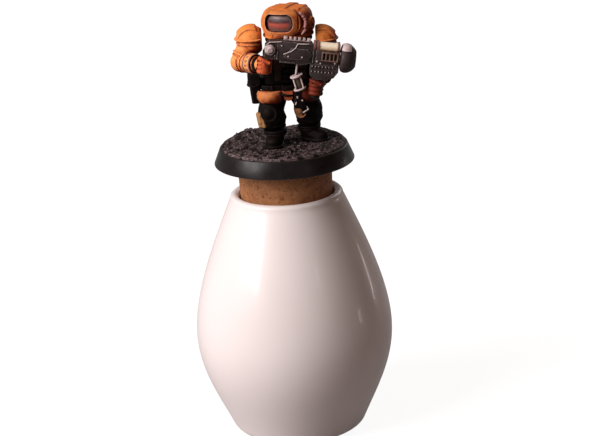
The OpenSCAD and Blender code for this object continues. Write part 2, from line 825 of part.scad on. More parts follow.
module chest_harness() {
    plate_size = [6.4, 4.4];
    color("SaddleBrown") on_base() difference() {
        intersection() {
            torso_form(strap_t);
            translate([figure_x, -torso_depth, 0]) union() {
                for (side = [-1, 1])
                    translate([side * strap_spread - strap_w / 2, 0, waist_z + belt_h])
                        cube([strap_w, torso_depth - glue_gap, torso_h - 1.5 * belt_h]);
                translate([-plate_size[0] / 2, 0, waist_z + torso_h * chest_z_share - plate_size[1] / 2])
                    cube([plate_size[0], torso_depth - glue_gap, plate_size[1]]);
            }
        }
        torso_form(glue_gap);
    }
}

// Collar and helmet: the head looks a little to the figure's right
collar_h = 1.2;
collar_r = 4.8;
collar_bore_r = 2.8;
helmet_low_share = 0.95;
helmet_wide_share = 0.34;
helmet_pulls = [0.92, 0.94];
helmet_wall = 1.7;
visor_sunk = 0.5;
visor_w = 8.4;
visor_h = 4.9;
visor_r = 2;
visor_z_share = 0.565;
frame_w = 1;
frame_t = 0.45;

module collar_ring() {
    color(gun_dark) on_base() translate([figure_x, 0, neck_z]) rotate_extrude() difference() {
        translate([(collar_bore_r + collar_r) / 2, collar_h / 2])
            square([collar_r - collar_bore_r, collar_h], center = true);
        translate([collar_r + collar_h / 4, collar_h / 2]) circle(r = collar_h / 2.5, $fn = 24);
    }
}

module helmet_form(grow) {
    r = helmet_w / 2 + grow;
    h = helmet_h + grow;
    wide_z = h * helmet_wide_share;
    rotate_extrude($fn = 72) polygon(concat(
        [[0, 0]],
        [for (i = [0:4]) bezier([r * helmet_low_share, 0], [r * helmet_low_share, wide_z / 3],
            [r, wide_z * 0.6], [r, wide_z], i / 4)],
        [for (i = [1:10]) bezier([r, wide_z], [r, wide_z + (h - wide_z) * helmet_pulls[0]],
            [r * helmet_pulls[1], h], [0, h], i / 10)]));
}

module in_head() {
    on_base() translate([figure_x, 0, neck_z + collar_h + glue_gap]) rotate([0, 0, -head_turn]) children();
}

module visor_window(grow) {
    size = [visor_w + 2 * grow, visor_h + 2 * grow];
    translate([0, 0, helmet_h * visor_z_share]) rotate([90, 0, 0]) linear_extrude(helmet_w) hull()
        for (x = [-1, 1]) for (z = [-1, 1])
            translate([x * (size[0] / 2 - visor_r), z * (size[1] / 2 - visor_r)])
                circle(r = visor_r, $fn = 24);
}

ear_r = 1.9;
ear_t = 0.35;                                         // how far the ear caps stand out
ear_z_share = 0.43;
crest_w = 2.2;
crest_t = 0.3;

module helmet() {
    color(suit_orange) in_head() difference() {
        union() {
            helmet_form(0);
            translate([-helmet_w / 2 - ear_t, 0, helmet_h * ear_z_share]) rotate([0, 90, 0])
                cylinder(r = ear_r, h = helmet_w + 2 * ear_t);
            difference() {
                intersection() {
                    helmet_form(crest_t);
                    translate([-crest_w / 2, -helmet_w / 2 + crest_t, helmet_h / 2])
                        cube([crest_w, helmet_w, helmet_h]);
                }
                visor_window(frame_w + glue_gap);
            }
        }
        difference() {
            visor_window(0);
            helmet_form(-helmet_wall);
        }
    }
}

module visor() {
    color(cloth_black) in_head() difference() {
        intersection() {
            helmet_form(-visor_sunk);
            visor_window(-glue_gap);
        }
        helmet_form(-helmet_wall + glue_gap);
    }
}

module visor_frame() {
    color(suit_orange) in_head() difference() {
        intersection() {
            helmet_form(frame_t);
            visor_window(frame_w);
        }
        visor_window(0);
        helmet_form(glue_gap);
    }
}

// Back pack: a frame against the torso, two air tanks and the hoses that feed the helmet
frame_plate = [9, 2.2, 8.4];
tank_r = 2.3;
tank_spread = 2.6;
tank_low = 0.8;
tank_valve_r = 0.9;
hose_r = 0.5;
hose_bend = 1.2;
tank_y = torso_depth / 2 + frame_plate[1] / 3 + glue_gap + tank_r;
tank_clear = 1.6;                                    // tank tops below the collar
tank_l = torso_h - tank_low - tank_clear;
pack_z = waist_z + tank_low;

module tank_frame() {
    color(gun_dark) on_base() difference() {
        translate([figure_x - frame_plate[0] / 2, torso_depth / 2 - 2 * frame_plate[1] / 3, pack_z])
            cube(frame_plate);
        torso_form(glue_gap);
    }
}

module at_tanks() {
    for (side = [-1, 1]) translate([figure_x + side * tank_spread, tank_y, pack_z]) children();
}

module air_tanks() {
    dome = tank_r * 0.45;
    color(suit_orange) on_base() at_tanks() rotate_extrude() polygon(concat(
        [[0, 0]],
        arc([tank_r - dome, dome], dome, -90, 0, 6),
        arc([tank_r - dome, tank_l - dome], dome, 0, 90, 6),
        [[tank_valve_r, tank_l], [tank_valve_r, tank_l + tank_valve_r], [0, tank_l + tank_valve_r]]));
}

module air_hoses() {
    start = tank_l + tank_valve_r + glue_gap;
    rise = pack_z + start;
    straight = neck_z + collar_h + helmet_h * helmet_wide_share - hose_bend - rise;
    color(rubber_black) difference() {
        on_base() at_tanks() translate([0, 0, start]) {
            cylinder(r = hose_r, h = straight, $fn = 24);
            translate([0, -hose_bend, straight]) rotate([90, 0, 90])
                rotate_extrude(angle = 90, $fn = 24) translate([hose_bend, 0]) circle(r = hose_r, $fn = 24);
            translate([0, -hose_bend, straight + hose_bend]) rotate([90, 0, 0])
                cylinder(r = hose_r, h = tank_spread, $fn = 24);
        }
        in_head() helmet_form(glue_gap);
    }
}

// Cutting tool: its own frame starts at the rear of the housing, with X along the tool
tool_rear_out = 6.8;                                 // rear of the tool, from the figure's axis
tool_chest_gap = 2.45;
tool_drop = 0.2;
tool_at = [figure_x - tool_rear_out, -torso_depth / 2 - tool_chest_gap - tool_w / 2, neck_z - tool_drop];
nose_l = 4.3;
housing_front = tool_l - nose_l;
belly = 2.2;                                         // depth of the housing below the tool's axis
deck = 2.9;                                          // height of the rear deck above the axis
shelf = 1.35;                                        // height of the front shelf that carries the tube
deck_l = 12.9;
deck_slope = 0.9;
tube_z = shelf + tube_r + glue_gap;

function tool_point(p) = tool_at + [
    p[0] * cos(tool_dip) + p[2] * sin(tool_dip), p[1], p[2] * cos(tool_dip) - p[0] * sin(tool_dip)
];

module in_tool() {
    on_base() translate(tool_at) rotate([0, tool_dip, 0]) children();
}

module side_profile(points, w) {
    rotate([90, 0, 0]) translate([0, 0, -w / 2]) linear_extrude(w) polygon(points);
}

// Side outlines of the housing and of its raised side plates, in housing_front along the tool and in
// the height from belly to deck, counted from the axis
ribs_share = -0.51;                                  // underside over the ribs
hook_share = -0.61;                                  // underside at the lamp's hook
grip_share = -0.43;                                  // underside over the rear grip
lower_shares = [
    [1, -0.34], [0.925, ribs_share], [0.58, ribs_share], [0.5, -0.62], [0.24, -0.55],
    [0.19, grip_share], [0.03, grip_share], [0, -0.36]
];
upper_shares = [[0, 0.22], [0.06, 0.47], [0.22, 0.568]];
cheek_shares = [[0.26, -0.24], [0.35, 0.26], [0.56, 0.26], [0.62, 0], [0.58, -0.32], [0.31, -0.32]];
cheek_t = 0.45;
seam = 0.35;
seam_shares = [0.15, 0.67];

module tool_housing() {
    size = [housing_front, deck + belly];
    color(gun_dark) in_tool() difference() {
        union() {
            side_profile(concat(
                scaled(upper_shares, size),
                [[deck_l, deck], [deck_l + deck_slope, shelf], [housing_front, shelf]],
                scaled(lower_shares, size)), tool_w);
            side_profile(scaled(cheek_shares, size), tool_w + 2 * cheek_t);
        }
        for (side = [-1, 1]) for (x = seam_shares * housing_front)
            translate([x, side * tool_w / 2, 0]) cube([seam, seam, 3 * deck], center = true);
    }
}

rail_from = 5;
rail_h = 1;
rail_w = 1.9;
rail_slots = 5;

module top_rail() {
    rail_l = deck_l - rail_from - rail_h / 2;
    color(edge_silver) in_tool() difference() {
        translate([rail_from, -rail_w / 2, deck + glue_gap]) cube([rail_l, rail_w, rail_h]);
        for (i = [1:rail_slots])
            translate([rail_from + rail_l * i / (rail_slots + 1) - rail_h / 4, -rail_w, deck + rail_h / 2])
                cube([rail_h / 2, 2 * rail_w, rail_h]);
    }
}

nose_drop = 0.55;
nozzle_r = 1.5;
nozzle_rim = 0.35;
nose_tangent_shares = [[0.9, 0.08], [1.06, 0.3], [1.02, 0.72], [0.6, 0.97]];

module tool_nose() {
    l = nose_l - glue_gap;
    points = scaled(nose_tangent_shares, [nose_r, l]);
    color(gun_dark) in_tool() translate([tool_l - l, 0, -nose_drop]) rotate([0, 90, 0])
        rotate_extrude($fn = 72) polygon(concat(
            [[0, 0], [nose_r * 0.72, 0]],
            [for (i = [0:8]) bezier(points[0], points[1], points[2], points[3], i / 8)],
            [
                [nose_r * 0.56, l], [nozzle_r + nozzle_rim, l], [nozzle_r, l * 0.9],
                [nozzle_r, l * 0.55], [0, l * 0.55]
            ]));
}

tube_end_gap = 0.3;
clamp_w = 0.8;
clamp_t = 0.4;
clamp_inset = 0.1;
tube_from = deck_l + deck_slope + tube_end_gap / 4;

module gas_tube() {
    color(tube_cream) in_tool() translate([tube_from, 0, tube_z]) rotate([0, 90, 0])
        cylinder(r = tube_r, h = housing_front - tube_end_gap - tube_from);
}

module tube_clamps() {
    r = tube_r + clamp_t;
    last_x = housing_front - tube_end_gap - clamp_inset - clamp_w;
    color(edge_silver) in_tool() for (x = [tube_from + clamp_inset, last_x]) difference() {
        union() {
            translate([x, 0, tube_z]) rotate([0, 90, 0]) cylinder(r = r, h = clamp_w);
            translate([x, -r, shelf + glue_gap]) cube([clamp_w, 2 * r, tube_r]);
        }
        translate([x - overrun, 0, tube_z]) rotate([0, 90, 0])
            cylinder(r = tube_r + glue_gap, h = clamp_w + 2 * overrun);
        translate([x - overrun, -2 * r, shelf + glue_gap - tube_r])
            cube([clamp_w + 2 * overrun, 4 * r, tube_r]);
    }
}

guard_size = [4.6, 0.5, 2.6];
guard_bars = 3;
guard_bar_w = 0.4;
guard_front_gap = 0.6;
guard_drop = 0.2;

module vent_guards() {
    gap = (guard_size[0] - (guard_bars + 2) * guard_bar_w) / (guard_bars + 1);
    from = [housing_front - guard_front_gap - guard_size[0], 0, shelf - guard_drop - guard_size[2]];
    color(tube_cream) in_tool() for (side = [-1, 1])
        translate(from + [0, side * (tool_w / 2 + glue_gap + guard_size[1] / 2) - guard_size[1] / 2, 0])
            difference() {
                cube(guard_size);
                for (i = [0:guard_bars])
                    translate([guard_bar_w + i * (gap + guard_bar_w), -overrun, guard_bar_w])
                        cube([gap, guard_size[1] + 2 * overrun, guard_size[2] - 2 * guard_bar_w]);
            }
}

// Deep rounded block under the front of the housing, with rows of slots in its sides
rib_l = 7.9;
rib_h = 4.2;
rib_from = 12.8;
rib_count = 7;
rib_top = ribs_share * (deck + belly) - glue_gap;
rib_low = rib_top - rib_h;
rib_shares = [[0, 0], [0.02, -0.7], [0.16, -1], [0.62, -1], [0.86, -0.8], [1, -0.4], [1, 0]];
slot_rows = [-0.2, -0.46];                           // heights of the rows, in rib_h
slot_h = 0.16;                                       // height of a slot, in rib_h

module rib_block() {
    pitch = rib_l / (rib_count + 1);
    color(gun_dark) in_tool() translate([rib_from, 0, rib_top]) difference() {
        side_profile(scaled(rib_shares, [rib_l, rib_h]), tool_w);
        for (i = [1:rib_count]) for (side = [-1, 1]) for (row = slot_rows)
            translate([pitch * i, side * tool_w / 2, row * rib_h])
                cube([pitch / 2, pitch / 2, slot_h * rib_h], center = true);
    }
}

knob_r = 1.35;
knob_t = 0.7;
knob_from = 1.5;

module valve_knob() {
    color(edge_silver) in_tool()
        translate([knob_from, -tool_w / 2 - glue_gap, knob_r / 5]) rotate([90, 0, 0]) {
            cylinder(r = knob_r, h = knob_t);
            cylinder(r = knob_r * 0.55, h = 1.6 * knob_t);
        }
}

// Grips and gloves: each fist is four fingers stacked round its grip
grip_r = 0.95;
finger_r = 0.58;
fist_r = grip_r + 2 * finger_r;
fist_h = 8 * finger_r;
fist_drop = 0.15;
finger_curl = 240;
curl_from = 30;
grip_end = 0.7;
rear_grip_from = 0.5;
fore_grip_from = 15.2;
rear_fist_turn = -30;
fore_fist_turn = 90;
rear_grip_top = grip_share * (deck + belly);
rear_fist = [rear_grip_from, 0, rear_grip_top - fist_drop - fist_h / 2];
fore_fist = [fore_grip_from, 0, rib_low - fist_drop - fist_h / 2];

module grip(at, top) {
    translate([at[0], at[1], at[2] - fist_h / 2 - grip_end]) {
        cylinder(r = grip_r, h = top - glue_gap - at[2] + fist_h / 2 + grip_end);
        cylinder(r = grip_r * 1.4, h = grip_end * 0.8);
    }
}

module rear_grip() {
    color(rubber_black) in_tool() grip(rear_fist, rear_grip_top);
}

module fore_grip() {
    color(rubber_black) in_tool() grip(fore_fist, rib_low);
}

module fist(at, turn) {
    translate(at) rotate([0, 0, turn]) {
        difference() {
            cylinder(r = fist_r - finger_r / 4, h = fist_h - finger_r / 2, center = true);
            cylinder(r = grip_r + glue_gap, h = 2 * fist_h, center = true);
            translate([fist_r + grip_r * 0.4, 0, 0]) cube([2 * fist_r, grip_r, 2 * fist_h], center = true);
        }
        for (i = [0:3]) translate([0, 0, (2 * i - 3) * finger_r])
            rotate([0, 0, curl_from]) rotate_extrude(angle = finger_curl, $fn = 48)
                translate([grip_r + glue_gap + finger_r, 0]) circle(r = finger_r, $fn = 24);
    }
}

module right_glove() {
    color(suit_orange) in_tool() fist(rear_fist, rear_fist_turn);
}

module left_glove() {
    color(suit_orange) in_tool() fist(fore_fist, fore_fist_turn);
}

// Arms, from a ball in each shoulder cap to the fist
shoulder_out = 3;
left_shoulder_in = 1.4;
right_shoulder_up = 0;
left_shoulder_down = 1.2;
shoulder_r = 3.9;
upper_r = 3.4;
elbow_r = 2.8;
wrist_r = 1.9;
cuff_out = 0.45;
upper_arm_l = 6.4;
helmet_gap = 0.3;                                    // least gap between the helmet and the shoulders
socket_x = max(torso_w / 2 + glue_gap, helmet_w / 2 + helmet_gap);
right_arm_shares = [-0.53, -0.16, -0.84];            // ways of the upper arms, in upper_arm_l
left_arm_shares = [0.38, 0.03, -0.75];
right_shoulder = [figure_x - torso_w / 2 - shoulder_out, 0, neck_z + right_shoulder_up];
left_shoulder = [figure_x + torso_w / 2 + shoulder_out - left_shoulder_in, 0, neck_z - left_shoulder_down];
right_elbow = right_shoulder + right_arm_shares * upper_arm_l;
left_elbow = left_shoulder + left_arm_shares * upper_arm_l;

module arm_form(shoulder, elbow, hand, grow) {
    way = hand - elbow;
    l = norm(way);
    translate(shoulder) sphere(r = shoulder_r + grow);
    along(shoulder, elbow)
        cylinder(r1 = upper_r + grow, r2 = elbow_r * joint_share + grow, h = norm(elbow - shoulder));
    translate(elbow) sphere(r = elbow_r + grow);
    along(elbow, hand) {
        cylinder(r1 = elbow_r * 0.94 + grow, r2 = wrist_r + grow, h = l);
        translate([0, 0, l * 0.42]) cylinder(r = elbow_r * 0.84 + cuff_out + grow, h = l * 0.2);
    }
}

module fist_space(at) {
    in_tool() translate(at) cylinder(r = fist_r + glue_gap, h = fist_h + 6 * overrun, center = true);
}

module right_arm() {
    color(suit_orange) difference() {
        on_base() arm_form(right_shoulder, right_elbow, tool_point(rear_fist), 0);
        on_base() translate([figure_x - socket_x, -2 * torso_w, 0]) cube(4 * torso_w);
        fist_space(rear_fist);
        in_tool() translate([-overrun, -tool_w / 2 - glue_gap, rear_grip_top - glue_gap])
            cube([tool_l, tool_w + 2 * glue_gap, 2 * deck]);
    }
}

module left_arm() {
    color(suit_orange) difference() {
        on_base() arm_form(left_shoulder, left_elbow, tool_point(fore_fist), 0);
        on_base() translate([figure_x + socket_x - 4 * torso_w, -2 * torso_w, 0]) cube(4 * torso_w);
        fist_space(fore_fist);
        in_tool() translate([rib_from - glue_gap, -tool_w / 2 - glue_gap, rib_low - glue_gap])
            cube([rib_l + 2 * glue_gap, tool_w + 2 * glue_gap, 2 * deck]);
    }
}

// Shoulder caps: a dome over a smaller lame, open below for the arm
cap_low = 0.3;
cap_step = 0.4;
cap_rise = 0.9;                                      // lower edge of the dome, above the shoulder's middle
crown_t = 0.4;                                       // a raised plate over the outer half of the dome
crown_w = 5.6;
crown_lean = 20;

module cap_form(at, side) {
    translate(at) difference() {
        union() {
            intersection() {
                sphere(r = cap_r + crown_t);
                rotate([0, side * crown_lean, 0]) translate([-crown_w / 2, -crown_w / 2, 0])
                    cube([crown_w, crown_w, 2 * cap_r]);
                translate([-2 * cap_r, -2 * cap_r, cap_rise]) cube(4 * cap_r);
            }
            intersection() {
                sphere(r = cap_r);
                translate([-2 * cap_r, -2 * cap_r, cap_rise]) cube(4 * cap_r);
            }
            intersection() {
                sphere(r = cap_r - cap_step);
                translate([-2 * cap_r, -2 * cap_r, -cap_low])
                    cube([4 * cap_r, 4 * cap_r, cap_low + 2 * cap_rise]);
            }
        }
        sphere(r = shoulder_r + glue_gap);
    }
}

module right_shoulder_cap() {
    color(suit_orange) on_base() difference() {
        cap_form(right_shoulder, -1);
        translate([figure_x - socket_x, -2 * torso_w, 0]) cube(4 * torso_w);
        arm_form(right_shoulder, right_elbow, right_elbow + [0, -shoulder_r, 0], glue_gap);
    }
}

module left_shoulder_cap() {
    color(suit_orange) on_base() difference() {
        cap_form(left_shoulder, 1);
        translate([figure_x + socket_x - 4 * torso_w, -2 * torso_w, 0]) cube(4 * torso_w);
        arm_form(left_shoulder, left_elbow, left_elbow + [0, -shoulder_r, 0], glue_gap);
    }
}

// Hand lamp: a lit cell in a wire cage that hangs from the housing on a hook
lamp_r = 1.1;
lamp_h = 3.2;
lamp_tilt = -13;
lamp_from = 9.4;
wire_r = 0.28;
cap_disc_t = 0.5;
hook_l = 3.4;
hook_top = hook_share * (deck + belly);
lamp_top = [lamp_from, 0, hook_top - glue_gap - hook_l];

module in_lamp() {
    on_base() translate(tool_point(lamp_top)) rotate([0, lamp_tilt, 0]) mirror([1, 0, 0]) children();
}

module hand_lamp() {
    color("Khaki") in_lamp()
        translate([0, 0, -cap_disc_t - glue_gap - lamp_h]) cylinder(r = lamp_r, h = lamp_h);
}

module lamp_cage() {
    bars = 4;
    cage_r = lamp_r + wire_r + glue_gap;
    disc_r = cage_r + 1.5 * wire_r;
    color(edge_silver) {
        in_lamp() {
            translate([0, 0, -cap_disc_t]) cylinder(r = disc_r, h = cap_disc_t);
            translate([0, 0, -2 * cap_disc_t - 2 * glue_gap - lamp_h]) cylinder(r = disc_r, h = cap_disc_t);
            for (i = [0:bars - 1]) rotate([0, 0, 45 + 360 * i / bars])
                translate([cage_r, 0, -1.5 * cap_disc_t - 2 * glue_gap - lamp_h])
                    cylinder(r = wire_r, h = lamp_h + cap_disc_t + 2 * glue_gap, $fn = 24);
        }
        in_tool() translate([lamp_top[0], 0, lamp_top[2] - cap_disc_t / 2])
            cylinder(r = wire_r * 1.3, h = hook_l + cap_disc_t / 2, $fn = 24);
    }
}

grip_shell();
foot_pad();
foot_plug();
ballast_weight();
ballast_screw();
bearing_outer_ring();
bearing_inner_ring();
bearing_balls();
bearing_cage();
bearing_shields();
spindle();
spindle_washer();
spindle_screw();
cork_stopper();
tack_pad();
base_disc();
ground_layer();
ground_stones();
right_boot();
left_boot();
right_leg();
left_leg();
right_knee_pad();
left_knee_pad();
right_thigh_plate();
left_thigh_plate();
hips();
belt();
belt_pouches();
holster();
loin_guard();
torso_front();
torso_back();
chest_harness();
collar_ring();
helmet();
visor();
visor_frame();
tank_frame();
air_tanks();
air_hoses();
right_shoulder_cap();
left_shoulder_cap();
right_arm();
left_arm();
right_glove();
left_glove();
tool_housing();
top_rail();
tool_nose();
gas_tube();
tube_clamps();
vent_guards();
rib_block();
valve_knob();
rear_grip();
fore_grip();
hand_lamp();
lamp_cage();
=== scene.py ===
import bpy
import math
from mathutils import Matrix, Vector, bvhtree, noise


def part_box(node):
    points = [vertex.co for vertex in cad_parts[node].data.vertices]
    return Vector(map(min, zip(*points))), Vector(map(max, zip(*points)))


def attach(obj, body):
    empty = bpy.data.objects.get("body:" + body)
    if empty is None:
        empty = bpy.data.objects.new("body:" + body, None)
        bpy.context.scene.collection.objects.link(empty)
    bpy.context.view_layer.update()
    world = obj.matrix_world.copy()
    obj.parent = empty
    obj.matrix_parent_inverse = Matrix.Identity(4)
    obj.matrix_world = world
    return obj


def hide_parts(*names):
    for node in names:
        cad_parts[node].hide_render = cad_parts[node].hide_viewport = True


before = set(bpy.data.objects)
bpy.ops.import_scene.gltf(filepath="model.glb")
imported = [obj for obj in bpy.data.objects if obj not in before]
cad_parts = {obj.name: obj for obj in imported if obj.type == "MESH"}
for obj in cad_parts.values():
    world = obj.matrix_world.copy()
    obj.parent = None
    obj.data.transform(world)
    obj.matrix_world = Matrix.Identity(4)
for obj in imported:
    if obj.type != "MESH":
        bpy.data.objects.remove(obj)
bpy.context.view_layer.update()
MM = 0.001

# Studio: a big soft box high at the left, weak ones in front, overhead and behind, in a white room.
# Three thin strips light nothing, and show only as the glints in the lacquer of the grip.
# The camera stands where the photograph was taken from, 0.5 m off and 18 degrees above the level.
scene = bpy.context.scene
scene.view_settings.view_transform = "Standard"
CAMERA_TILT = math.radians(17.98)
CAMERA_ROLL = math.radians(3.37)
CAMERA_DISTANCE = 0.5
CAMERA_AIM = Vector((0.00201, 0.0, 0.06348))
CAMERA_REACH = (0.01, 20)
FOCAL_PIXELS, PICTURE_WIDTH, SENSOR_WIDTH = 1732.9, 590.0, 36.0

away = Vector((0, -math.cos(CAMERA_TILT), math.sin(CAMERA_TILT)))
level_right = Vector((1, 0, 0))
level_up = away.cross(level_right)
picture_right = math.cos(CAMERA_ROLL) * level_right - math.sin(CAMERA_ROLL) * level_up
picture_up = math.sin(CAMERA_ROLL) * level_right + math.cos(CAMERA_ROLL) * level_up
bpy.ops.object.camera_add()
camera = bpy.context.object
camera.name = "photo_camera"
camera_place = Matrix((picture_right, picture_up, away)).transposed().to_4x4()
camera_place.translation = CAMERA_AIM + CAMERA_DISTANCE * away
camera.matrix_world = camera_place
camera.data.sensor_width = SENSOR_WIDTH
camera.data.lens = FOCAL_PIXELS / PICTURE_WIDTH * SENSOR_WIDTH
camera.data.clip_start, camera.data.clip_end = CAMERA_REACH
scene.camera = camera

HANDLE_MIDDLE = Vector((0, 0, 0.06))
WARM_LIGHT = (1.0, 0.9, 0.86)


def area_lamp(name, place, size, watts, colour):
    bpy.ops.object.light_add(type="AREA")
    lamp = bpy.context.object
    lamp.name = name
    lamp.matrix_world = place
    lamp.data.shape = "RECTANGLE"
    lamp.data.size, lamp.data.size_y = size
    lamp.data.energy, lamp.data.color = watts, colour
    lamp.visible_camera = False
    return lamp


def soft_box(name, place, size, watts, colour=WARM_LIGHT):
    turn = (HANDLE_MIDDLE - Vector(place)).to_track_quat("-Z", "Y").to_matrix().to_4x4()
    area_lamp(name, Matrix.Translation(place) @ turn, size, watts, colour)


def glint_strip(name, top, low, width, watts):
    """A thin lamp between two places, which shows only as a glint in a gloss surface."""
    top, low = Vector(top), Vector(low)
    back = ((top + low) / 2 - HANDLE_MIDDLE).normalized()
    across = (top - low).cross(back).normalized()
    place = Matrix((across, back.cross(across), back)).transposed().to_4x4()
    place.translation = (top + low) / 2
    lamp = area_lamp(name, place, (width, (top - low).length), watts, WARM_LIGHT)
    lamp.visible_diffuse = lamp.visible_transmission = lamp.visible_volume_scatter = False


soft_box("key_box", (-0.70, -0.40, 0.56), (0.55, 0.65), 12.6, (1.0, 0.94, 0.935))
soft_box("fill_box", (0.45, -0.75, 0.25), (0.5, 0.4), 0.15, (1.0, 0.72, 0.56))
soft_box("top_box", (-0.15, -0.1, 0.75), (0.4, 0.3), 0.3)
soft_box("back_box", (0.50, 0.80, 0.45), (0.5, 0.5), 1.3)
glint_strip("front_glint", (0.35, -0.47, 0.275), (0.35, -0.47, 0.215), 0.014, 0.035)
glint_strip("side_glint", (0.277, 0.150, 0.070), (0.293, 0.116, 0.013), 0.012, 0.03)
glint_strip("low_glint", (0.318, -0.052, 0.040), (0.312, -0.052, 0.006), 0.03, 0.02)


def join(tree, out_socket, in_socket):
    tree.links.new(out_socket, in_socket)


def feed(tree, socket, value):
    """Gives a socket a number or a colour, or links it to another socket."""
    if isinstance(value, bpy.types.NodeSocket):
        join(tree, value, socket)
    elif isinstance(value, (int, float)):
        socket.default_value = value
    else:
        socket.default_value = (*value, 1)


def add_node(tree, kind, **settings):
    """A node with its settings and, by name, the values of its sockets."""
    node = tree.nodes.new("ShaderNode" + kind)
    for key, value in settings.items():
        if hasattr(node, key):
            setattr(node, key, value)
        else:
            node.inputs[key.replace("_", " ").title()].default_value = value
    return node


def sum_of(tree, kind, first, second, clamp=False):
    node = add_node(tree, "Math", operation=kind, use_clamp=clamp)
    feed(tree, node.inputs[0], first)
    feed(tree, node.inputs[1], second)
    return node.outputs[0]


GLOSS_SHARE = 0.25


def sees_white(tree):
    """1 for the camera and through glass, and a share of it for gloss and metal."""
    path = add_node(tree, "LightPath")
    seen = sum_of(tree, "MULTIPLY", path.outputs["Is Glossy Ray"], GLOSS_SHARE)
    seen = sum_of(tree, "ADD", seen, path.outputs["Is Camera Ray"])
    return sum_of(tree, "MAXIMUM", seen, path.outputs["Is Transmission Ray"])


room = bpy.data.worlds.new("white_room")
scene.world = room
room.use_nodes = True
tree = room.node_tree
tree.nodes.clear()
room_light = add_node(tree, "Background", strength=0.03)
feed(tree, room_light.inputs["Color"], (1.0, 0.74, 0.62))
room_white = add_node(tree, "Background")
feed(tree, room_white.inputs["Color"], (1, 1, 1))
choice = add_node(tree, "MixShader")
for socket, source in zip(choice.inputs, (sees_white(tree), room_light.outputs[0], room_white.outputs[0])):
    join(tree, source, socket)
join(tree, choice.outputs[0], add_node(tree, "OutputWorld").inputs[0])

# Floor: a large white table that keeps the handle's soft shadow.
# Plain white is added for the camera, glass and gloss, so that it meets the white room without an edge.
# A dark card stands out of sight at the right, and the lacquer of the grip shows it.
CARD_PLACE, CARD_SIZE = (0.75, -0.1, 0.35), (1.1, 1.3, 1, 1)
TABLE_R, TABLE_LIFT = 3, 0.93


def paint_pot(name, colour, rough, metal=0.0):
    """A new material and its Principled shader."""
    material = bpy.data.materials.new(name)
    material.use_nodes = True
    shader = material.node_tree.nodes["Principled BSDF"]
    shader.inputs["Base Color"].default_value = (*colour, 1)
    shader.inputs["Roughness"].default_value = rough
    shader.inputs["Metallic"].default_value = metal
    return material, material.node_tree, shader


def primitive(add, **settings):
    """Deselects everything and adds a primitive."""
    bpy.ops.object.select_all(action="DESELECT")
    add(**settings)
    return bpy.context.object


card = primitive(bpy.ops.mesh.primitive_plane_add, size=1)
card.name = "brown_card"
upright = Matrix.Rotation(math.radians(90), 4, "Y")
card.data.transform(Matrix.Translation(CARD_PLACE) @ upright @ Matrix.Diagonal(CARD_SIZE))
card.data.materials.append(paint_pot("brown_card_paper", (0.28, 0.19, 0.15), 0.9)[0])
card.visible_camera = False

table = primitive(bpy.ops.mesh.primitive_circle_add, vertices=64, radius=TABLE_R, fill_type="NGON")
table.name = "white_table"
table_white, tree, shader = paint_pot("white_table_top", (0.24, 0.22, 0.215), 0.9)
shader.inputs["Specular IOR Level"].default_value = 0.1
glow = add_node(tree, "Emission")
join(tree, sum_of(tree, "MULTIPLY", sees_white(tree), TABLE_LIFT), glow.inputs["Strength"])
both = add_node(tree, "AddShader")
join(tree, shader.outputs[0], both.inputs[0])
join(tree, glow.outputs[0], both.inputs[1])
join(tree, both.outputs[0], tree.nodes["Material Output"].inputs["Surface"])
table.data.materials.append(table_white)

# Grip: a one-piece egg-shaped shell, moulded and lacquered in gloss white.
# Its outline is two curves that meet at the girth, with a rounded foot and a rounded lip, spun round
# the handle's axis; inside are the seat of the bearing, the shelf below it and the hollow.
SHELL_FOOT, SHELL_LIP = (v.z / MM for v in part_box("grip_shell"))
GIRTH_R, GIRTH_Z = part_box("grip_shell")[1].x / MM, SHELL_FOOT + 29.6
FOOT_R, LIP_R, FOOT_ROUND = 15.5, 16.3, 4.5
CORK_LOW_Z, CORK_TOP_Z = (v.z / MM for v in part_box("cork_stopper"))
MOUTH_R = 13.53
BEARING_LOW, BEARING_TOP = (v.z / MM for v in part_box("bearing_outer_ring"))
BEARING_R, SHELF_R, SHELF_T, HOLLOW_GAP = 11.01, 9.5, 1.6, 9
SEAM, SHARP = 0.003 * MM, math.radians(32)
WALL, HOLLOW_Z, PLUG_Z, PAD_Z, PLUG_R, PAD_R, PLUG_LEDGE = 4.0, 8.3, 5.8, 2.2, 12, 13, 2.5
FOOT_SHARE, FOOT_LEAN, NECK_LEAN = (0.97, 0.42), (0.4, 0.92), (0.39, 0.92)
LOW_PULL, HIGH_PULL, NECK_PULL = 0.37, 0.31, 0.33


def curve(a, b, c, d, steps):
    """Points on the cubic curve from a to d, without its first point."""
    points = []
    for i in range(1, steps + 1):
        t = i / steps
        u = 1 - t
        points.append(tuple(u ** 3 * a[k] + 3 * u * u * t * b[k] + 3 * u * t * t * c[k] + t ** 3 * d[k]
                            for k in (0, 1)))
    return points


def rounding(centre, radius, start, end, steps):
    angles = [math.radians(start + (end - start) * i / steps) for i in range(steps + 1)]
    return [(centre[0] + radius * math.cos(a), centre[1] + radius * math.sin(a)) for a in angles]


def edited(*steps):
    """Runs mesh steps, each with its settings, on the whole of the active piece."""
    bpy.ops.object.mode_set(mode="EDIT")
    for step, settings in steps:
        bpy.ops.mesh.select_all(action="SELECT")
        step(**settings)
    bpy.ops.object.mode_set(mode="OBJECT")


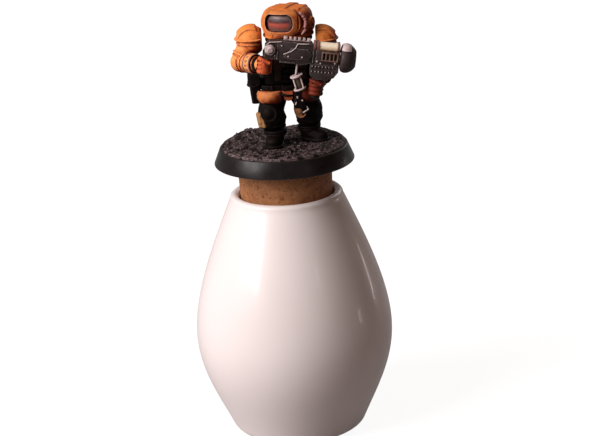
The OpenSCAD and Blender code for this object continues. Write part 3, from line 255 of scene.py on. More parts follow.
def spun(name, outline, steps):
    """Spins an outline of (radius, height) points in mm round the handle's axis, into one closed shell."""
    piece = primitive(bpy.ops.mesh.primitive_circle_add, vertices=len(outline), radius=1)
    piece.name = name
    for corner, (radius, height) in zip(piece.data.vertices, outline):
        corner.co = (radius * MM, 0, height * MM)
    edited((bpy.ops.mesh.spin, {"steps": steps, "angle": math.tau, "center": (0, 0, 0), "axis": (0, 0, 1)}),
           (bpy.ops.mesh.remove_doubles, {"threshold": SEAM}),
           (bpy.ops.mesh.normals_make_consistent, {"inside": False}))
    bpy.ops.object.shade_smooth_by_angle(angle=SHARP)
    return piece


def mount(piece, body, node_names, material):
    """Gives a piece its body and its only material, and hides the nodes that it stands for."""
    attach(piece, body)
    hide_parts(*node_names)
    piece.data.materials.clear()
    piece.data.materials.append(material)
    return piece


def spread(tree, value, low, high, to_low=0.0, to_high=1.0):
    """Maps a value from one range to another and keeps it inside."""
    node = add_node(tree, "MapRange", from_min=low, from_max=high, to_min=to_low, to_max=to_high)
    join(tree, value, node.inputs["Value"])
    return node.outputs["Result"]


def mottle(tree, place, size, low, high, detail=3.0):
    """A soft noise with patches of the given size in mm, between two values."""
    grain = add_node(tree, "TexNoise", scale=1 / (size * MM), detail=detail)
    join(tree, place, grain.inputs["Vector"])
    return spread(tree, grain.outputs["Fac"], 0.3, 0.7, low, high)


def colour_mix(tree, share, first, second):
    """Mixes two colours, each given as a colour or a socket, by a share or a socket."""
    mixer = add_node(tree, "Mix", data_type="RGBA")
    for socket, value in zip((mixer.inputs[0], mixer.inputs[6], mixer.inputs[7]), (share, first, second)):
        feed(tree, socket, value)
    return mixer.outputs[2]


def roughen(tree, shader, height, depth_mm):
    """Feeds a height into the shader's normal through a bump of real depth."""
    bump = add_node(tree, "Bump", distance=depth_mm * MM, strength=1.0)
    join(tree, height, bump.inputs["Height"])
    join(tree, bump.outputs["Normal"], shader.inputs["Normal"])


def surface_place(tree):
    return add_node(tree, "TexCoord").outputs["Object"]


def moulded(name, colours, patch, gloss_patch, rough, grain, depth, detail=3.0, gloss=()):
    """Lacquer, plastic, rubber or putty: one colour or two in soft patches, a mottled gloss and a fine skin."""
    material, tree, shader = paint_pot(name, colours[0], rough[0])
    for key, value in gloss:
        shader.inputs[key].default_value = value
    place = surface_place(tree)
    if len(colours) > 1:
        join(tree, colour_mix(tree, mottle(tree, place, patch, 0, 1), *colours), shader.inputs["Base Color"])
    join(tree, mottle(tree, place, gloss_patch, *rough), shader.inputs["Roughness"])
    roughen(tree, shader, mottle(tree, place, grain, 0, 1, detail), depth)
    return material


foot_end = (FOOT_R + FOOT_SHARE[0] * FOOT_ROUND, SHELL_FOOT + FOOT_SHARE[1] * FOOT_ROUND)
girth = (GIRTH_R, GIRTH_Z)
lip_round = (LIP_R - MOUTH_R) / 2
neck_end = (LIP_R, SHELL_LIP - lip_round)
low_rise, high_rise = girth[1] - foot_end[1], neck_end[1] - girth[1]
outside = [(FOOT_R, SHELL_FOOT)]
outside += curve(outside[0], (FOOT_R + FOOT_ROUND / 2, SHELL_FOOT),
                 tuple(end - lean * FOOT_ROUND / 3 for end, lean in zip(foot_end, FOOT_LEAN)), foot_end, 10)
outside += curve(foot_end, tuple(end + lean * LOW_PULL * low_rise for end, lean in zip(foot_end, FOOT_LEAN)),
                 (girth[0], girth[1] - LOW_PULL * low_rise), girth, 30)
outside += curve(girth, (girth[0], girth[1] + HIGH_PULL * high_rise),
                 (neck_end[0] + NECK_LEAN[0] * NECK_PULL * high_rise,
                  neck_end[1] - NECK_LEAN[1] * NECK_PULL * high_rise), neck_end, 40)
lip = rounding((MOUTH_R + lip_round, SHELL_LIP - lip_round), lip_round, 0, 180, 16)[1:]
seat = [(MOUTH_R, BEARING_TOP), (BEARING_R, BEARING_TOP), (BEARING_R, BEARING_LOW), (SHELF_R, BEARING_LOW),
        (SHELF_R, BEARING_LOW - SHELF_T)]
hollow_top = BEARING_LOW - SHELF_T - HOLLOW_GAP
inner = [(r - WALL, z) for r, z in reversed(outside) if SHELL_FOOT + HOLLOW_Z < z < hollow_top]
opening = [(inner[-1][0] - PLUG_LEDGE, SHELL_FOOT + PLUG_Z), (PLUG_R, SHELL_FOOT + PLUG_Z),
           (PLUG_R, SHELL_FOOT + PAD_Z), (PAD_R, SHELL_FOOT + PAD_Z), (PAD_R, SHELL_FOOT)]
grip = spun("gloss_grip", outside + lip + seat + inner + opening, 180)
lacquer = moulded("gloss_white_lacquer", ((0.885, 0.805, 0.79), (0.865, 0.785, 0.765)), 22, 9, (0.28, 0.36), 5, 0.006,
                  1.0, (("Coat Weight", 0.2), ("Coat Roughness", 0.04), ("IOR", 1.5), ("Specular IOR Level", 0.3)))
mount(grip, "grip", ["grip_shell"], lacquer)

# Foot: a satin white plug with its rubber pad under it, and the turned steel weight that it carries.
# All are made as the frame has them, and are seen from below or with the shell off.
WAVES_PER_SCALE = 6.3


def turned_metal(name, colour, rough, ring_pitch):
    """Metal with the fine rings that a lathe leaves, round the handle's axis."""
    material, tree, shader = paint_pot(name, colour, rough, 1.0)
    place = surface_place(tree)
    rings = add_node(tree, "TexWave", wave_type="RINGS", rings_direction="Z",
                     scale=1 / (ring_pitch * MM) / WAVES_PER_SCALE, distortion=0.4)
    join(tree, place, rings.inputs["Vector"])
    join(tree, mottle(tree, place, 2.5, rough - 0.06, rough + 0.08), shader.inputs["Roughness"])
    darker = tuple(0.82 * c for c in colour)
    join(tree, colour_mix(tree, mottle(tree, place, 5, 0, 0.7), colour, darker), shader.inputs["Base Color"])
    roughen(tree, shader, rings.outputs["Fac"], 0.004)
    return material


def finish(material, *nodes):
    """Gives nodes of the frame their material."""
    for node in nodes:
        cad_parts[node].data.materials.clear()
        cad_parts[node].data.materials.append(material)


finish(moulded("satin_white_plastic", ((0.80, 0.78, 0.76),), 0, 3, (0.38, 0.50), 0.4, 0.01), "foot_plug")
finish(moulded("black_rubber_pad", ((0.030, 0.029, 0.031), (0.055, 0.052, 0.050)), 4, 1.2, (0.7, 0.88), 0.25, 0.03),
       "foot_pad")
finish(turned_metal("turned_steel", (0.52, 0.52, 0.53), 0.34, 0.25),
       "ballast_weight", "ballast_screw", "spindle_washer", "spindle_screw")

# Bearing: ground steel rings, polished balls, a pressed nylon cage and bright shields.
# It sits under the spindle's flange, and the mouth shows its edge when the cork is out.
finish(turned_metal("ground_ring_steel", (0.60, 0.60, 0.61), 0.22, 0.12), "bearing_outer_ring", "bearing_inner_ring")
finish(turned_metal("polished_ball_steel", (0.72, 0.72, 0.73), 0.08, 0.5), "bearing_balls")
finish(turned_metal("pressed_shield_steel", (0.66, 0.66, 0.67), 0.28, 0.4), "bearing_shields")
finish(moulded("cage_nylon", ((0.74, 0.70, 0.56),), 0, 1.5, (0.42, 0.58), 0.3, 0.01), "bearing_cage")

# Spindle: a turned aluminium flange with a ribbed peg, which the cork is pushed onto.
# It turns in the bearing's inner ring, and a screw with a washer holds it from below.
finish(turned_metal("spindle_aluminium", (0.74, 0.74, 0.76), 0.27, 0.3), "spindle")

# Cork: a tapered stopper of natural cork, cut from one piece and smoothed by handling.
# Its sides show the soft grain, darker veins and small pits, and its edges are slightly crumbled.
CORK_TOP_R, CORK_LOW_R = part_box("cork_stopper")[1].x / MM, 12.65
PEG_R, PEG_HOLE = 4.01, 10.6
EDGE_FLAT, EDGE_CUT, SIDE_STEPS = 0.6, 0.15, 46
PITS = ((0.9, (0, 0, 0), 0.42, 0.25), (2.2, (9, 4, 2), 0.5, 0.2))
GRAIN_SIZE, WARP_SIZE, WARP_REACH = 1.7, 1.4, 1.2
cork_outline = [(0, CORK_LOW_Z + PEG_HOLE), (PEG_R, CORK_LOW_Z + PEG_HOLE), (PEG_R, CORK_LOW_Z),
                (CORK_LOW_R - EDGE_FLAT, CORK_LOW_Z), (CORK_LOW_R - EDGE_CUT, CORK_LOW_Z + EDGE_CUT)]
for i in range(SIDE_STEPS + 1):
    share = i / SIDE_STEPS
    cork_outline.append((CORK_LOW_R + (CORK_TOP_R - CORK_LOW_R) * share,
                         CORK_LOW_Z + 0.5 + (CORK_TOP_Z - CORK_LOW_Z - 1.0) * share))
cork_outline += [(CORK_TOP_R - EDGE_CUT, CORK_TOP_Z - EDGE_CUT), (CORK_TOP_R - EDGE_FLAT, CORK_TOP_Z), (0, CORK_TOP_Z)]
cork = spun("cork_stopper_body", cork_outline, 220)
for corner in cork.data.vertices:
    out = Vector((corner.co.x, corner.co.y, 0))
    if out.length > (CORK_LOW_R - 0.4) * MM:
        at = corner.co / MM
        depth = 0.03 * (1 + noise.noise(at * 0.35))
        for pitch, start, level, gain in PITS:
            depth += max(0.0, noise.noise(at * pitch + Vector(start)) - level) * gain
        corner.co -= out.normalized() * depth * MM
cork_skin, tree, shader = paint_pot("natural_cork", (0.45, 0.2, 0.08), 0.75)
shader.inputs["Specular IOR Level"].default_value = 0.3
place = surface_place(tree)
grains = add_node(tree, "TexVoronoi", scale=1 / (GRAIN_SIZE * MM), randomness=1.0)
warp = add_node(tree, "TexNoise", scale=1 / (WARP_SIZE * MM), detail=3.0)
join(tree, place, warp.inputs["Vector"])
warped = add_node(tree, "VectorMath", operation="MULTIPLY_ADD")
join(tree, warp.outputs["Color"], warped.inputs[0])
warped.inputs[1].default_value = (WARP_REACH * MM,) * 3
join(tree, place, warped.inputs[2])
join(tree, warped.outputs[0], grains.inputs["Vector"])
patch = add_node(tree, "SeparateColor")
join(tree, grains.outputs["Color"], patch.inputs[0])
soft = sum_of(tree, "MULTIPLY", patch.outputs[0], 0.22)
pits = sum_of(tree, "MULTIPLY", mottle(tree, place, 0.8, -2.3, 1.3, 2), 0.6, True)
tone = colour_mix(tree, mottle(tree, place, 7, 0, 1, 4), (0.44, 0.19, 0.075), (0.26, 0.10, 0.038))
for share, colour in ((mottle(tree, place, 2.2, 0, 0.6, 5), (0.19, 0.068, 0.024)), (soft, (0.56, 0.28, 0.13)),
                      (pits, (0.10, 0.035, 0.012))):
    tone = colour_mix(tree, share, tone, colour)
join(tree, tone, shader.inputs["Base Color"])
join(tree, mottle(tree, place, 1.5, 0.62, 0.85), shader.inputs["Roughness"])
roughen(tree, shader, mottle(tree, place, 0.7, 1, 0, 4), 0.05)
mount(cork, "cork", ["cork_stopper"], cork_skin)

# Tack: a pad of kneaded blue poster tack, pressed flat between the cork and the figure's base.
# It holds the figure while it is painted, and peels off afterwards.
finish(moulded("blue_tack", ((0.08, 0.27, 0.56), (0.13, 0.36, 0.66)), 3, 1.2, (0.45, 0.65), 1.5, 0.12), "tack_pad")

# Base: a moulded round base with a bevelled side, hollow underneath, brushed satin black.
# Its upper edge is painted pale: a painted highlight along it.
BASE_LOW, BASE_TOP = (v.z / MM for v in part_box("base_disc"))
BASE_R, BASE_TOP_R = 20.0, 18.3
RECESS_R, RIM_IN_R, RECESS_H = 16.64, 17.8, 3.2
LOW_ROUND, TOP_ROUND = 0.3, 0.32
rim_outline = [(0, BASE_LOW + RECESS_H), (RECESS_R, BASE_LOW + RECESS_H), (RIM_IN_R, BASE_LOW)]
rim_outline += rounding((BASE_R - LOW_ROUND, BASE_LOW + LOW_ROUND), LOW_ROUND, -90, 10, 4)
rim_outline += rounding((BASE_TOP_R - TOP_ROUND, BASE_TOP - TOP_ROUND), TOP_ROUND, 20, 90, 6)
rim_outline.append((0, BASE_TOP))
base = spun("round_base", rim_outline, 200)
# Painted light falls from this direction, in each piece's own frame; the middle coat is each paint darkened by these
# shares, a painted shade.
PAINTED_LIGHT_FROM = (-0.70, -0.20, 0.685)
PAINTED_SHADE_SHARE = (0.5, 0.42, 0.40)


def painted_shade_and_highlights():
    """How a brush paints a casting, with painted light and shade: a dark wash as painted shade in the hollows,
    a middle coat as painted shade on the sides turned away, the full colour as painted light on the sides that
    face up and to the front left, and pale dry-brushed edges as painted highlights."""
    group = bpy.data.node_groups.new("painted_shade_and_highlights", "ShaderNodeTree")
    for name, kind, value in (("Paint", "Color", (0.5, 0.5, 0.5, 1)), ("Middle", "Color", (0.2, 0.2, 0.2, 1)),
                              ("Shade Wash", "Color", (0.02, 0.02, 0.02, 1)), ("Edge", "Color", (0.8, 0.8, 0.8, 1)),
                              ("Hollow", "Float", 0.9 * MM), ("Rub", "Float", 0.12 * MM),
                              ("Edge Gain", "Float", 1.0), ("Brush", "Float", 0.25)):
        socket = group.interface.new_socket(name, in_out="INPUT", socket_type="NodeSocket" + kind)
        socket.default_value = value
    for name, kind in (("Color", "Color"), ("Roughness", "Float"), ("Height", "Float")):
        group.interface.new_socket(name, in_out="OUTPUT", socket_type="NodeSocket" + kind)
    given, out = group.nodes.new("NodeGroupInput").outputs, group.nodes.new("NodeGroupOutput").inputs

    place = surface_place(group)
    # Painted shade: the paint darkens in the hollows, by ambient occlusion.
    hollow = add_node(group, "AmbientOcclusion", samples=6)
    join(group, given["Hollow"], hollow.inputs["Distance"])
    # Painted highlight: edges turn pale where the bevelled normal bends away from the true one.
    soft_normal = add_node(group, "Bevel", samples=4)
    join(group, given["Rub"], soft_normal.inputs["Radius"])
    surface = add_node(group, "NewGeometry")
    bend = add_node(group, "VectorMath", operation="DOT_PRODUCT")
    join(group, soft_normal.outputs["Normal"], bend.inputs[0])
    join(group, surface.outputs["Normal"], bend.inputs[1])
    sharp = sum_of(group, "MULTIPLY", sum_of(group, "SUBTRACT", 1.0, bend.outputs["Value"]), 7.0, True)
    edge_highlight = sum_of(group, "MULTIPLY", sharp, sum_of(group, "POWER", hollow.outputs["AO"], 3.0))
    edge_highlight = sum_of(group, "MULTIPLY", edge_highlight, given["Edge Gain"], True)
    edge_highlight = sum_of(group, "MULTIPLY", edge_highlight, mottle(group, place, 0.7, 0.35, 1.1), True)
    # Painted light and shade: sides that face the painted light keep the full colour, the others fall to the middle
    # coat and the dark wash.
    own_normal = add_node(group, "VectorTransform", vector_type="NORMAL", convert_from="WORLD", convert_to="OBJECT")
    join(group, surface.outputs["Normal"], own_normal.inputs[0])
    painted_light_facing = add_node(group, "VectorMath", operation="DOT_PRODUCT")
    join(group, own_normal.outputs[0], painted_light_facing.inputs[0])
    painted_light_facing.inputs[1].default_value = PAINTED_LIGHT_FROM
    painted_light_share = sum_of(group, "MULTIPLY", sum_of(group, "POWER", hollow.outputs["AO"], 1.6),
                   spread(group, painted_light_facing.outputs["Value"], -0.65, 0.6, 0.2, 1.05), True)
    strokes = sum_of(group, "MULTIPLY", given["Brush"], mottle(group, place, 1.6, -0.6, 1.0))
    painted_light_share = sum_of(group, "SUBTRACT", painted_light_share, strokes, True)
    colour = colour_mix(group, spread(group, painted_light_share, 0.0, 0.5), given["Shade Wash"], given["Middle"])
    colour = colour_mix(group, spread(group, painted_light_share, 0.45, 0.95), colour, given["Paint"])
    join(group, colour_mix(group, edge_highlight, colour, given["Edge"]), out["Color"])
    join(group, mottle(group, place, 0.9, 0.48, 0.72), out["Roughness"])
    join(group, mottle(group, place, 0.35, 0.0, 1.0), out["Height"])
    return group


PAINTED = painted_shade_and_highlights()


def painted(name, paint, shade_wash, edge, middle=None, hollow=0.9, rub=0.12, gain=1.0, brush=0.25, grain=0.015, shine=0.16):
    """A hand-painted material with its nodes, shader and coat, with painted shade and painted highlights; lengths in
    mm.
    """
    # Without a middle coat given, it is the paint darkened: a painted shade.
    middle = middle or [part * share for part, share in zip(paint, PAINTED_SHADE_SHARE)]
    material, tree, shader = paint_pot(name, paint, 0.6)
    coat = add_node(tree, "Group", node_tree=PAINTED)
    for key, value in (("Paint", paint), ("Middle", middle), ("Shade Wash", shade_wash), ("Edge", edge), ("Hollow", hollow * MM),
                       ("Rub", rub * MM), ("Edge Gain", gain), ("Brush", brush)):
        feed(tree, coat.inputs[key], value)
    join(tree, coat.outputs["Color"], shader.inputs["Base Color"])
    shader.inputs["Specular IOR Level"].default_value = shine
    join(tree, coat.outputs["Roughness"], shader.inputs["Roughness"])
    roughen(tree, shader, coat.outputs["Height"], grain)
    return material, tree, shader, coat


def brushed_paint(*colours, **settings):
    return painted(*colours, **settings)[0]


rim_black, tree, shader = painted("satin_black_base", (0.010, 0.007, 0.007), (0.002, 0.001, 0.001),
                                  (0.22, 0.15, 0.13), hollow=1.5, rub=0.25, gain=0.9, brush=0.2, grain=0.006,
                                  shine=0.2)[:3]
join(tree, mottle(tree, surface_place(tree), 2.5, 0.26, 0.4), shader.inputs["Roughness"])
mount(base, "miniature", ["base_disc"], rim_black)

# Ground: basing paste with sand in it, spread by hand, painted dark and dry-brushed grey and mauve.
# It is thicker at the back left, trodden flat under the boots, and its edge wanders a little.
GROUND_R, GROUND_T, GROUND_RINGS = 17.5, 0.8, 96
SKIN_GAP, SKIRT = 0.02, 1.012
FEET = (Vector((-2.05, -4.7)), Vector((8.9, -0.4)))
FOOT_REACH, RIM_REACH = 2.6, 1.3
HEAP_X, HEAP_Y, HEAP_RISE, HEAP_SPREAD = -7.5, 9.5, 1.1, 26.0
TIP_SIZE, TIP_COLOUR, GAP_COLOUR = 0.55, (0.33, 0.25, 0.25), (0.006, 0.003, 0.003)
rings = [(0, BASE_TOP + SKIN_GAP), (GROUND_R, BASE_TOP + SKIN_GAP)]
rings += [(GROUND_R * (1 - i / GROUND_RINGS), BASE_TOP + GROUND_T) for i in range(GROUND_RINGS + 1)]
ground = spun("gritty_ground", rings, 260)
bpy.ops.object.shade_smooth()
for corner in ground.data.vertices:
    x, y, z = corner.co / MM
    out = math.hypot(x, y)
    if z < BASE_TOP + 0.1:
        if out > 1:
            corner.co.x *= SKIRT
            corner.co.y *= SKIRT
        continue
    at = Vector((x, y, 0))
    off_foot = min((Vector((x, y)) - foot).length for foot in FEET)
    trodden = min(1.0, max(0.0, (off_foot - FOOT_REACH) / FOOT_REACH))
    rim_fade = min(1.0, max(0.0, (GROUND_R - out) / RIM_REACH))
    edge_wander = 0.5 + 0.5 * noise.noise(at * 0.35)
    lumps = 0.42 * noise.noise(at * 0.22 + Vector((3, 1, 0))) + 0.34 * noise.noise(at * 0.55)
    grit = 0.40 * max(-0.3, noise.noise(at * 1.35 + Vector((0, 7, 2)))) + 0.36 * abs(noise.noise(at * 2.1))
    grit += 0.22 * noise.noise(at * 4.0)
    heap = HEAP_RISE * math.exp(-((x - HEAP_X) ** 2 + (y - HEAP_Y) ** 2) / HEAP_SPREAD)
    rise = (0.25 + lumps + heap) * trodden + grit * (0.35 + 0.65 * trodden)
    sink = (1 - rim_fade) * GROUND_T * 0.55 * edge_wander
    corner.co.z += max(-GROUND_T + 0.1, rise * rim_fade - sink) * MM
earth, tree, shader, coat = painted("dry_brushed_ground", (0.046, 0.030, 0.029), (0.003, 0.002, 0.002),
                                    (0.42, 0.32, 0.31), hollow=0.7, rub=0.22, gain=1.3, brush=0.3, grain=0.06)
place = surface_place(tree)
heights = add_node(tree, "TexNoise", scale=1 / (TIP_SIZE * MM), detail=4.0)
join(tree, place, heights.inputs["Vector"])
tips = spread(tree, heights.outputs["Fac"], 0.50, 0.68, 0.0, 0.6)
brushed = colour_mix(tree, tips, coat.outputs["Color"], TIP_COLOUR)
brushed = colour_mix(tree, mottle(tree, place, 1.5, -2.6, 3.0, 4.0), brushed, GAP_COLOUR)
join(tree, brushed, shader.inputs["Base Color"])
mount(ground, "miniature", ["ground_layer"], earth)

# Stones: bits of cork bark and slate pressed into the paste, painted with the ground.
# Their places and sizes are shares of the ground's radius.
STONES = (((-0.71, -0.35), 0.085), ((-0.55, 0.52), 0.11), ((0.64, -0.59), 0.075),
          ((0.1, -0.73), 0.063), ((0.18, 0.7), 0.09), ((-0.8, 0.18), 0.07))
STONE_RISE, STONE_SQUASH, STONE_TURN = 1.25, (1, 0.8, 0.62), 53


def take(*pieces):
    """Selects pieces and makes the first one active."""
    bpy.ops.object.select_all(action="DESELECT")
    for piece in pieces:
        piece.select_set(True)
    bpy.context.view_layer.objects.active = pieces[0]


def merge(name, pieces):
    """Joins pieces into one object with the name."""
    take(*pieces)
    if len(pieces) > 1:
        bpy.ops.object.join()
    pieces[0].name = name
    return pieces[0]


bits = []
for i, ((x, y), size) in enumerate(STONES):
    bit = primitive(bpy.ops.mesh.primitive_ico_sphere_add, subdivisions=4, radius=size * GROUND_R * MM,
                    location=(x * GROUND_R * MM, y * GROUND_R * MM, (BASE_TOP + STONE_RISE) * MM),
                    rotation=(0, 0, math.radians(STONE_TURN * i)), scale=STONE_SQUASH)
    bpy.ops.object.transform_apply(location=True, rotation=True, scale=True)
    bits.append(bit)
    for corner in bit.data.vertices:
        at = corner.co / MM
        corner.co += corner.normal * (0.55 * noise.noise(at * 0.6) + 0.16 * noise.noise(at * 2.2)) * MM
mount(merge("slate_bits", bits), "miniature", ["ground_stones"], earth)

# Boots: heavy boots with a treaded sole, a toe cap, a strap and a padded cuff, cast with the figure.
# Every piece of the figure is cast in resin, glued, primed and painted by hand with a wash over it.
SOLE_Z, ANKLE_Z = (v.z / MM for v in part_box("right_boot"))
RIGHT_FOOT, LEFT_FOOT = Vector((-2.05, -2.85, SOLE_Z)), Vector((7.55, 0.45, SOLE_Z))
RIGHT_TURN, LEFT_TURN = -10, 58
UP, COPY_SEAM = (0, 0, 1), 0.004 * MM


def copy_of(node):
    """A loose copy of a node's mesh, with its corners merged."""
    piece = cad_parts[node].copy()
    piece.data = piece.data.copy()
    piece.data.materials.clear()
    bpy.context.collection.objects.link(piece)
    piece.parent = None
    piece.hide_viewport = piece.hide_render = False
    piece.hide_set(False)
    take(piece)
    edited((bpy.ops.mesh.remove_doubles, {"threshold": COPY_SEAM}))
    return piece


def placed(piece, at, way, squash=(1, 1, 1)):
    """Squashes a piece, turns its Z axis along a direction and moves it to a place in mm."""
    turn = Vector(way).to_track_quat("Z", "Y").to_matrix().to_4x4()
    piece.data.transform(Matrix.Translation(Vector(at) * MM) @ turn @ Matrix.Diagonal((*squash, 1)))
    return piece


def ring(at, way, radius, thick, squash=(1, 1, 1)):
    """A round cord or fold round a limb: a ring at a place in mm, square to a direction."""
    cord = primitive(bpy.ops.mesh.primitive_torus_add, major_segments=40, minor_segments=12,
                     major_radius=radius * MM, minor_radius=thick * MM)
    return placed(cord, at, way, squash)


def ball(at, radius, squash=(1, 1, 1), way=UP):
    bead = primitive(bpy.ops.mesh.primitive_uv_sphere_add, segments=24, ring_count=14, radius=radius * MM)
    return placed(bead, at, way, squash)


def rod(start, end, radius, end_radius=None, sides=24):
    """A rod or taper between two places in mm."""
    start, end = Vector(start), Vector(end)
    bar = primitive(bpy.ops.mesh.primitive_cone_add, vertices=sides, radius1=radius * MM,
                    radius2=(end_radius or radius) * MM, depth=(end - start).length * MM)
    return placed(bar, (start + end) / 2, end - start)


def slab(at, size, bevel=0.2, turn=Matrix.Identity(3)):
    """A block with rounded edges, turned by a matrix about its middle."""
    piece = primitive(bpy.ops.mesh.primitive_cube_add, size=1)
    piece.data.transform(Matrix.Diagonal((size[0] * MM, size[1] * MM, size[2] * MM, 1)))
    edited((bpy.ops.mesh.bevel, {"offset": min(bevel, 0.45 * min(size)) * MM, "segments": 2}))
    piece.data.transform(Matrix.Translation(Vector(at) * MM) @ turn.to_4x4())
    return piece


def modified(piece, kind, **settings):
    """Gives the active piece a modifier with its settings, and applies it."""
    step = piece.modifiers.new(kind.lower(), kind)
    for key, value in settings.items():
        setattr(step, key, value)
    bpy.ops.object.modifier_apply(modifier=step.name)


def cast(name, node, extras, voxel, relax, material, folds=0.0, fold_size=2.0):
    """Joins a node's copy, where there is one, and extras into one casting: their skins flow into each other
    and every edge is a little soft."""
    nodes = [node] if node else []
    piece = merge(name, [copy_of(one) for one in nodes] + extras)
    modified(piece, "REMESH", mode="VOXEL", voxel_size=voxel * MM)
    modified(piece, "SMOOTH", factor=0.5, iterations=relax)
    if folds:
        wrinkles = bpy.data.textures.new(name + "_folds", "CLOUDS")
        wrinkles.noise_scale, wrinkles.noise_depth = fold_size * MM, 2
        modified(piece, "DISPLACE", texture=wrinkles, strength=folds * MM, mid_level=0.5, texture_coords="LOCAL")
    bpy.ops.object.shade_smooth()
    return mount(piece, "miniature", nodes, material)


# Each paint's wash and middle coat are painted shade, and its pale edge colour is a painted highlight.
suit_black = brushed_paint("suit_black", (0.0048, 0.0024, 0.0020), (0.0006, 0.0003, 0.0002), (0.10, 0.058, 0.046),
                           hollow=1.0, rub=0.18, gain=0.9, shine=0.06)
boot_black = brushed_paint("boot_black", (0.0058, 0.0032, 0.0027), (0.0006, 0.0003, 0.0002), (0.13, 0.08, 0.065),
                           rub=0.18, shine=0.07)


def boot(name, foot, degrees):
    """The boot's extras are set for a boot that points to -Y, then turned with it."""
    x, y, z = foot
    extras = [
        ring((x, y - 2.0, z + 2.0), (0, -0.5, 0.87), 2.35, 0.28, (1.0, 0.9, 1)),
        ring((x, y - 3.1, z + 1.5), (0, -0.75, 0.66), 2.1, 0.24, (1.05, 0.85, 1)),
        ball((x, y - 3.6, z + 1.6), 1.95, (1.1, 0.95, 0.72)),
        slab((x + 2.35, y - 1.6, z + 2.2), (0.5, 1.0, 0.9), 0.15),
        slab((x - 2.35, y - 1.6, z + 2.2), (0.5, 1.0, 0.9), 0.15),
        ring((x, y, ANKLE_Z - 0.35), UP, 3.1, 0.3),
        ring((x, y, ANKLE_Z - 1.1), UP, 3.05, 0.26),
    ]
    middle = Matrix.Translation(foot * MM)
    for extra in extras:
        extra.data.transform(middle @ Matrix.Rotation(math.radians(degrees), 4, "Z") @ middle.inverted())
    cast(name, name, extras, 0.11, 2, boot_black)


boot("right_boot", RIGHT_FOOT, RIGHT_TURN)
boot("left_boot", LEFT_FOOT, LEFT_TURN)

# Legs: baggy trousers of heavy cloth, tucked into the boots, with a guard plate on the right shin.
# Folds gather above the boots and behind the knees.
KNEE_Z, HIP_Z, WAIST_Z, NECK_Z = (BASE_TOP + z for z in (10.63, 14.83, 18.23, 30.23))
RIGHT_KNEE, LEFT_KNEE = Vector((-2.95, -2.4, KNEE_Z)), Vector((7.93, -1.05, KNEE_Z))
RIGHT_HIP, LEFT_HIP = Vector((-1.9, 0, HIP_Z)), Vector((6.3, 0, HIP_Z))


def leg(name, foot, knee, hip):
    ankle = Vector((foot.x, foot.y, ANKLE_Z))
    shin, thigh = knee - ankle, hip - knee
    folds = [
        ring(ankle + 0.16 * shin, shin + Vector((0.6, 0.3, 0)), 2.95, 0.34),
        ring(ankle + 0.34 * shin, shin + Vector((-0.9, 0.5, 0)), 3.35, 0.30),
        ring(ankle + 0.58 * shin, shin + Vector((0.8, -0.7, 0)), 3.60, 0.26),
        ring(knee + 0.30 * thigh, thigh + Vector((0.9, 0.9, 0)), 3.42, 0.30),
    ]
    cast(name, name, folds, 0.14, 4, suit_black, 0.35, 2.4)


leg("right_leg", RIGHT_FOOT, RIGHT_KNEE, RIGHT_HIP)
leg("left_leg", LEFT_FOOT, LEFT_KNEE, LEFT_HIP)
guard_turn = Matrix.Rotation(math.radians(-9), 3, "Y") @ Matrix.Rotation(math.radians(34), 3, "Z")
shin_plates = [slab((-5.75, -4.1, KNEE_Z - 2.1), (1.3, 3.6, 4.6), 0.6, guard_turn),
               slab((-6.25, -4.45, KNEE_Z - 1.7), (0.9, 2.1, 2.9), 0.4, guard_turn),
               ball((-6.5, -4.6, KNEE_Z - 0.4), 0.3), ball((-5.7, -4.9, KNEE_Z - 3.3), 0.3)]
# Its pale edge colour is a painted highlight.
cast("shin_guard", None, shin_plates, 0.1, 2,
     brushed_paint("worn_tan_plate", (0.36, 0.19, 0.075), (0.05, 0.018, 0.008), (0.62, 0.42, 0.24), rub=0.2))

# Knee pads: pressed bowls strapped over the knees, with a raised boss and a rolled edge.
# The right one is painted black, the left one a scuffed brown.
# Its pale edge colour is a painted highlight.
brown_paint = brushed_paint("scuffed_brown", (0.19, 0.078, 0.032), (0.03, 0.009, 0.004), (0.52, 0.31, 0.17), rub=0.2)


def knee_pad(name, knee, way, material):
    way = Vector(way).normalized()
    extras = [ring(knee + 3.9 * way, way, 2.15, 0.26), ball(knee + 4.25 * way, 1.25, (1, 1, 0.45), way)]
    cast(name, name, extras, 0.1, 2, material)


knee_pad("right_knee_pad", RIGHT_KNEE, (-0.17, -0.98, 0.05), boot_black)
knee_pad("left_knee_pad", LEFT_KNEE, (-0.67, -0.74, 0.05), brown_paint)

# Hips, belt and what hangs from it: a padded seat, a webbing belt with a buckle, a holster on the
# right, a pouch on the left, two behind, and orange guards over the thighs and the groin.
HIPS_X = 2.2
BELT_Z = WAIST_Z - 0.7
ORANGE_SHADE_WASH = (0.040, 0.003, 0.001)
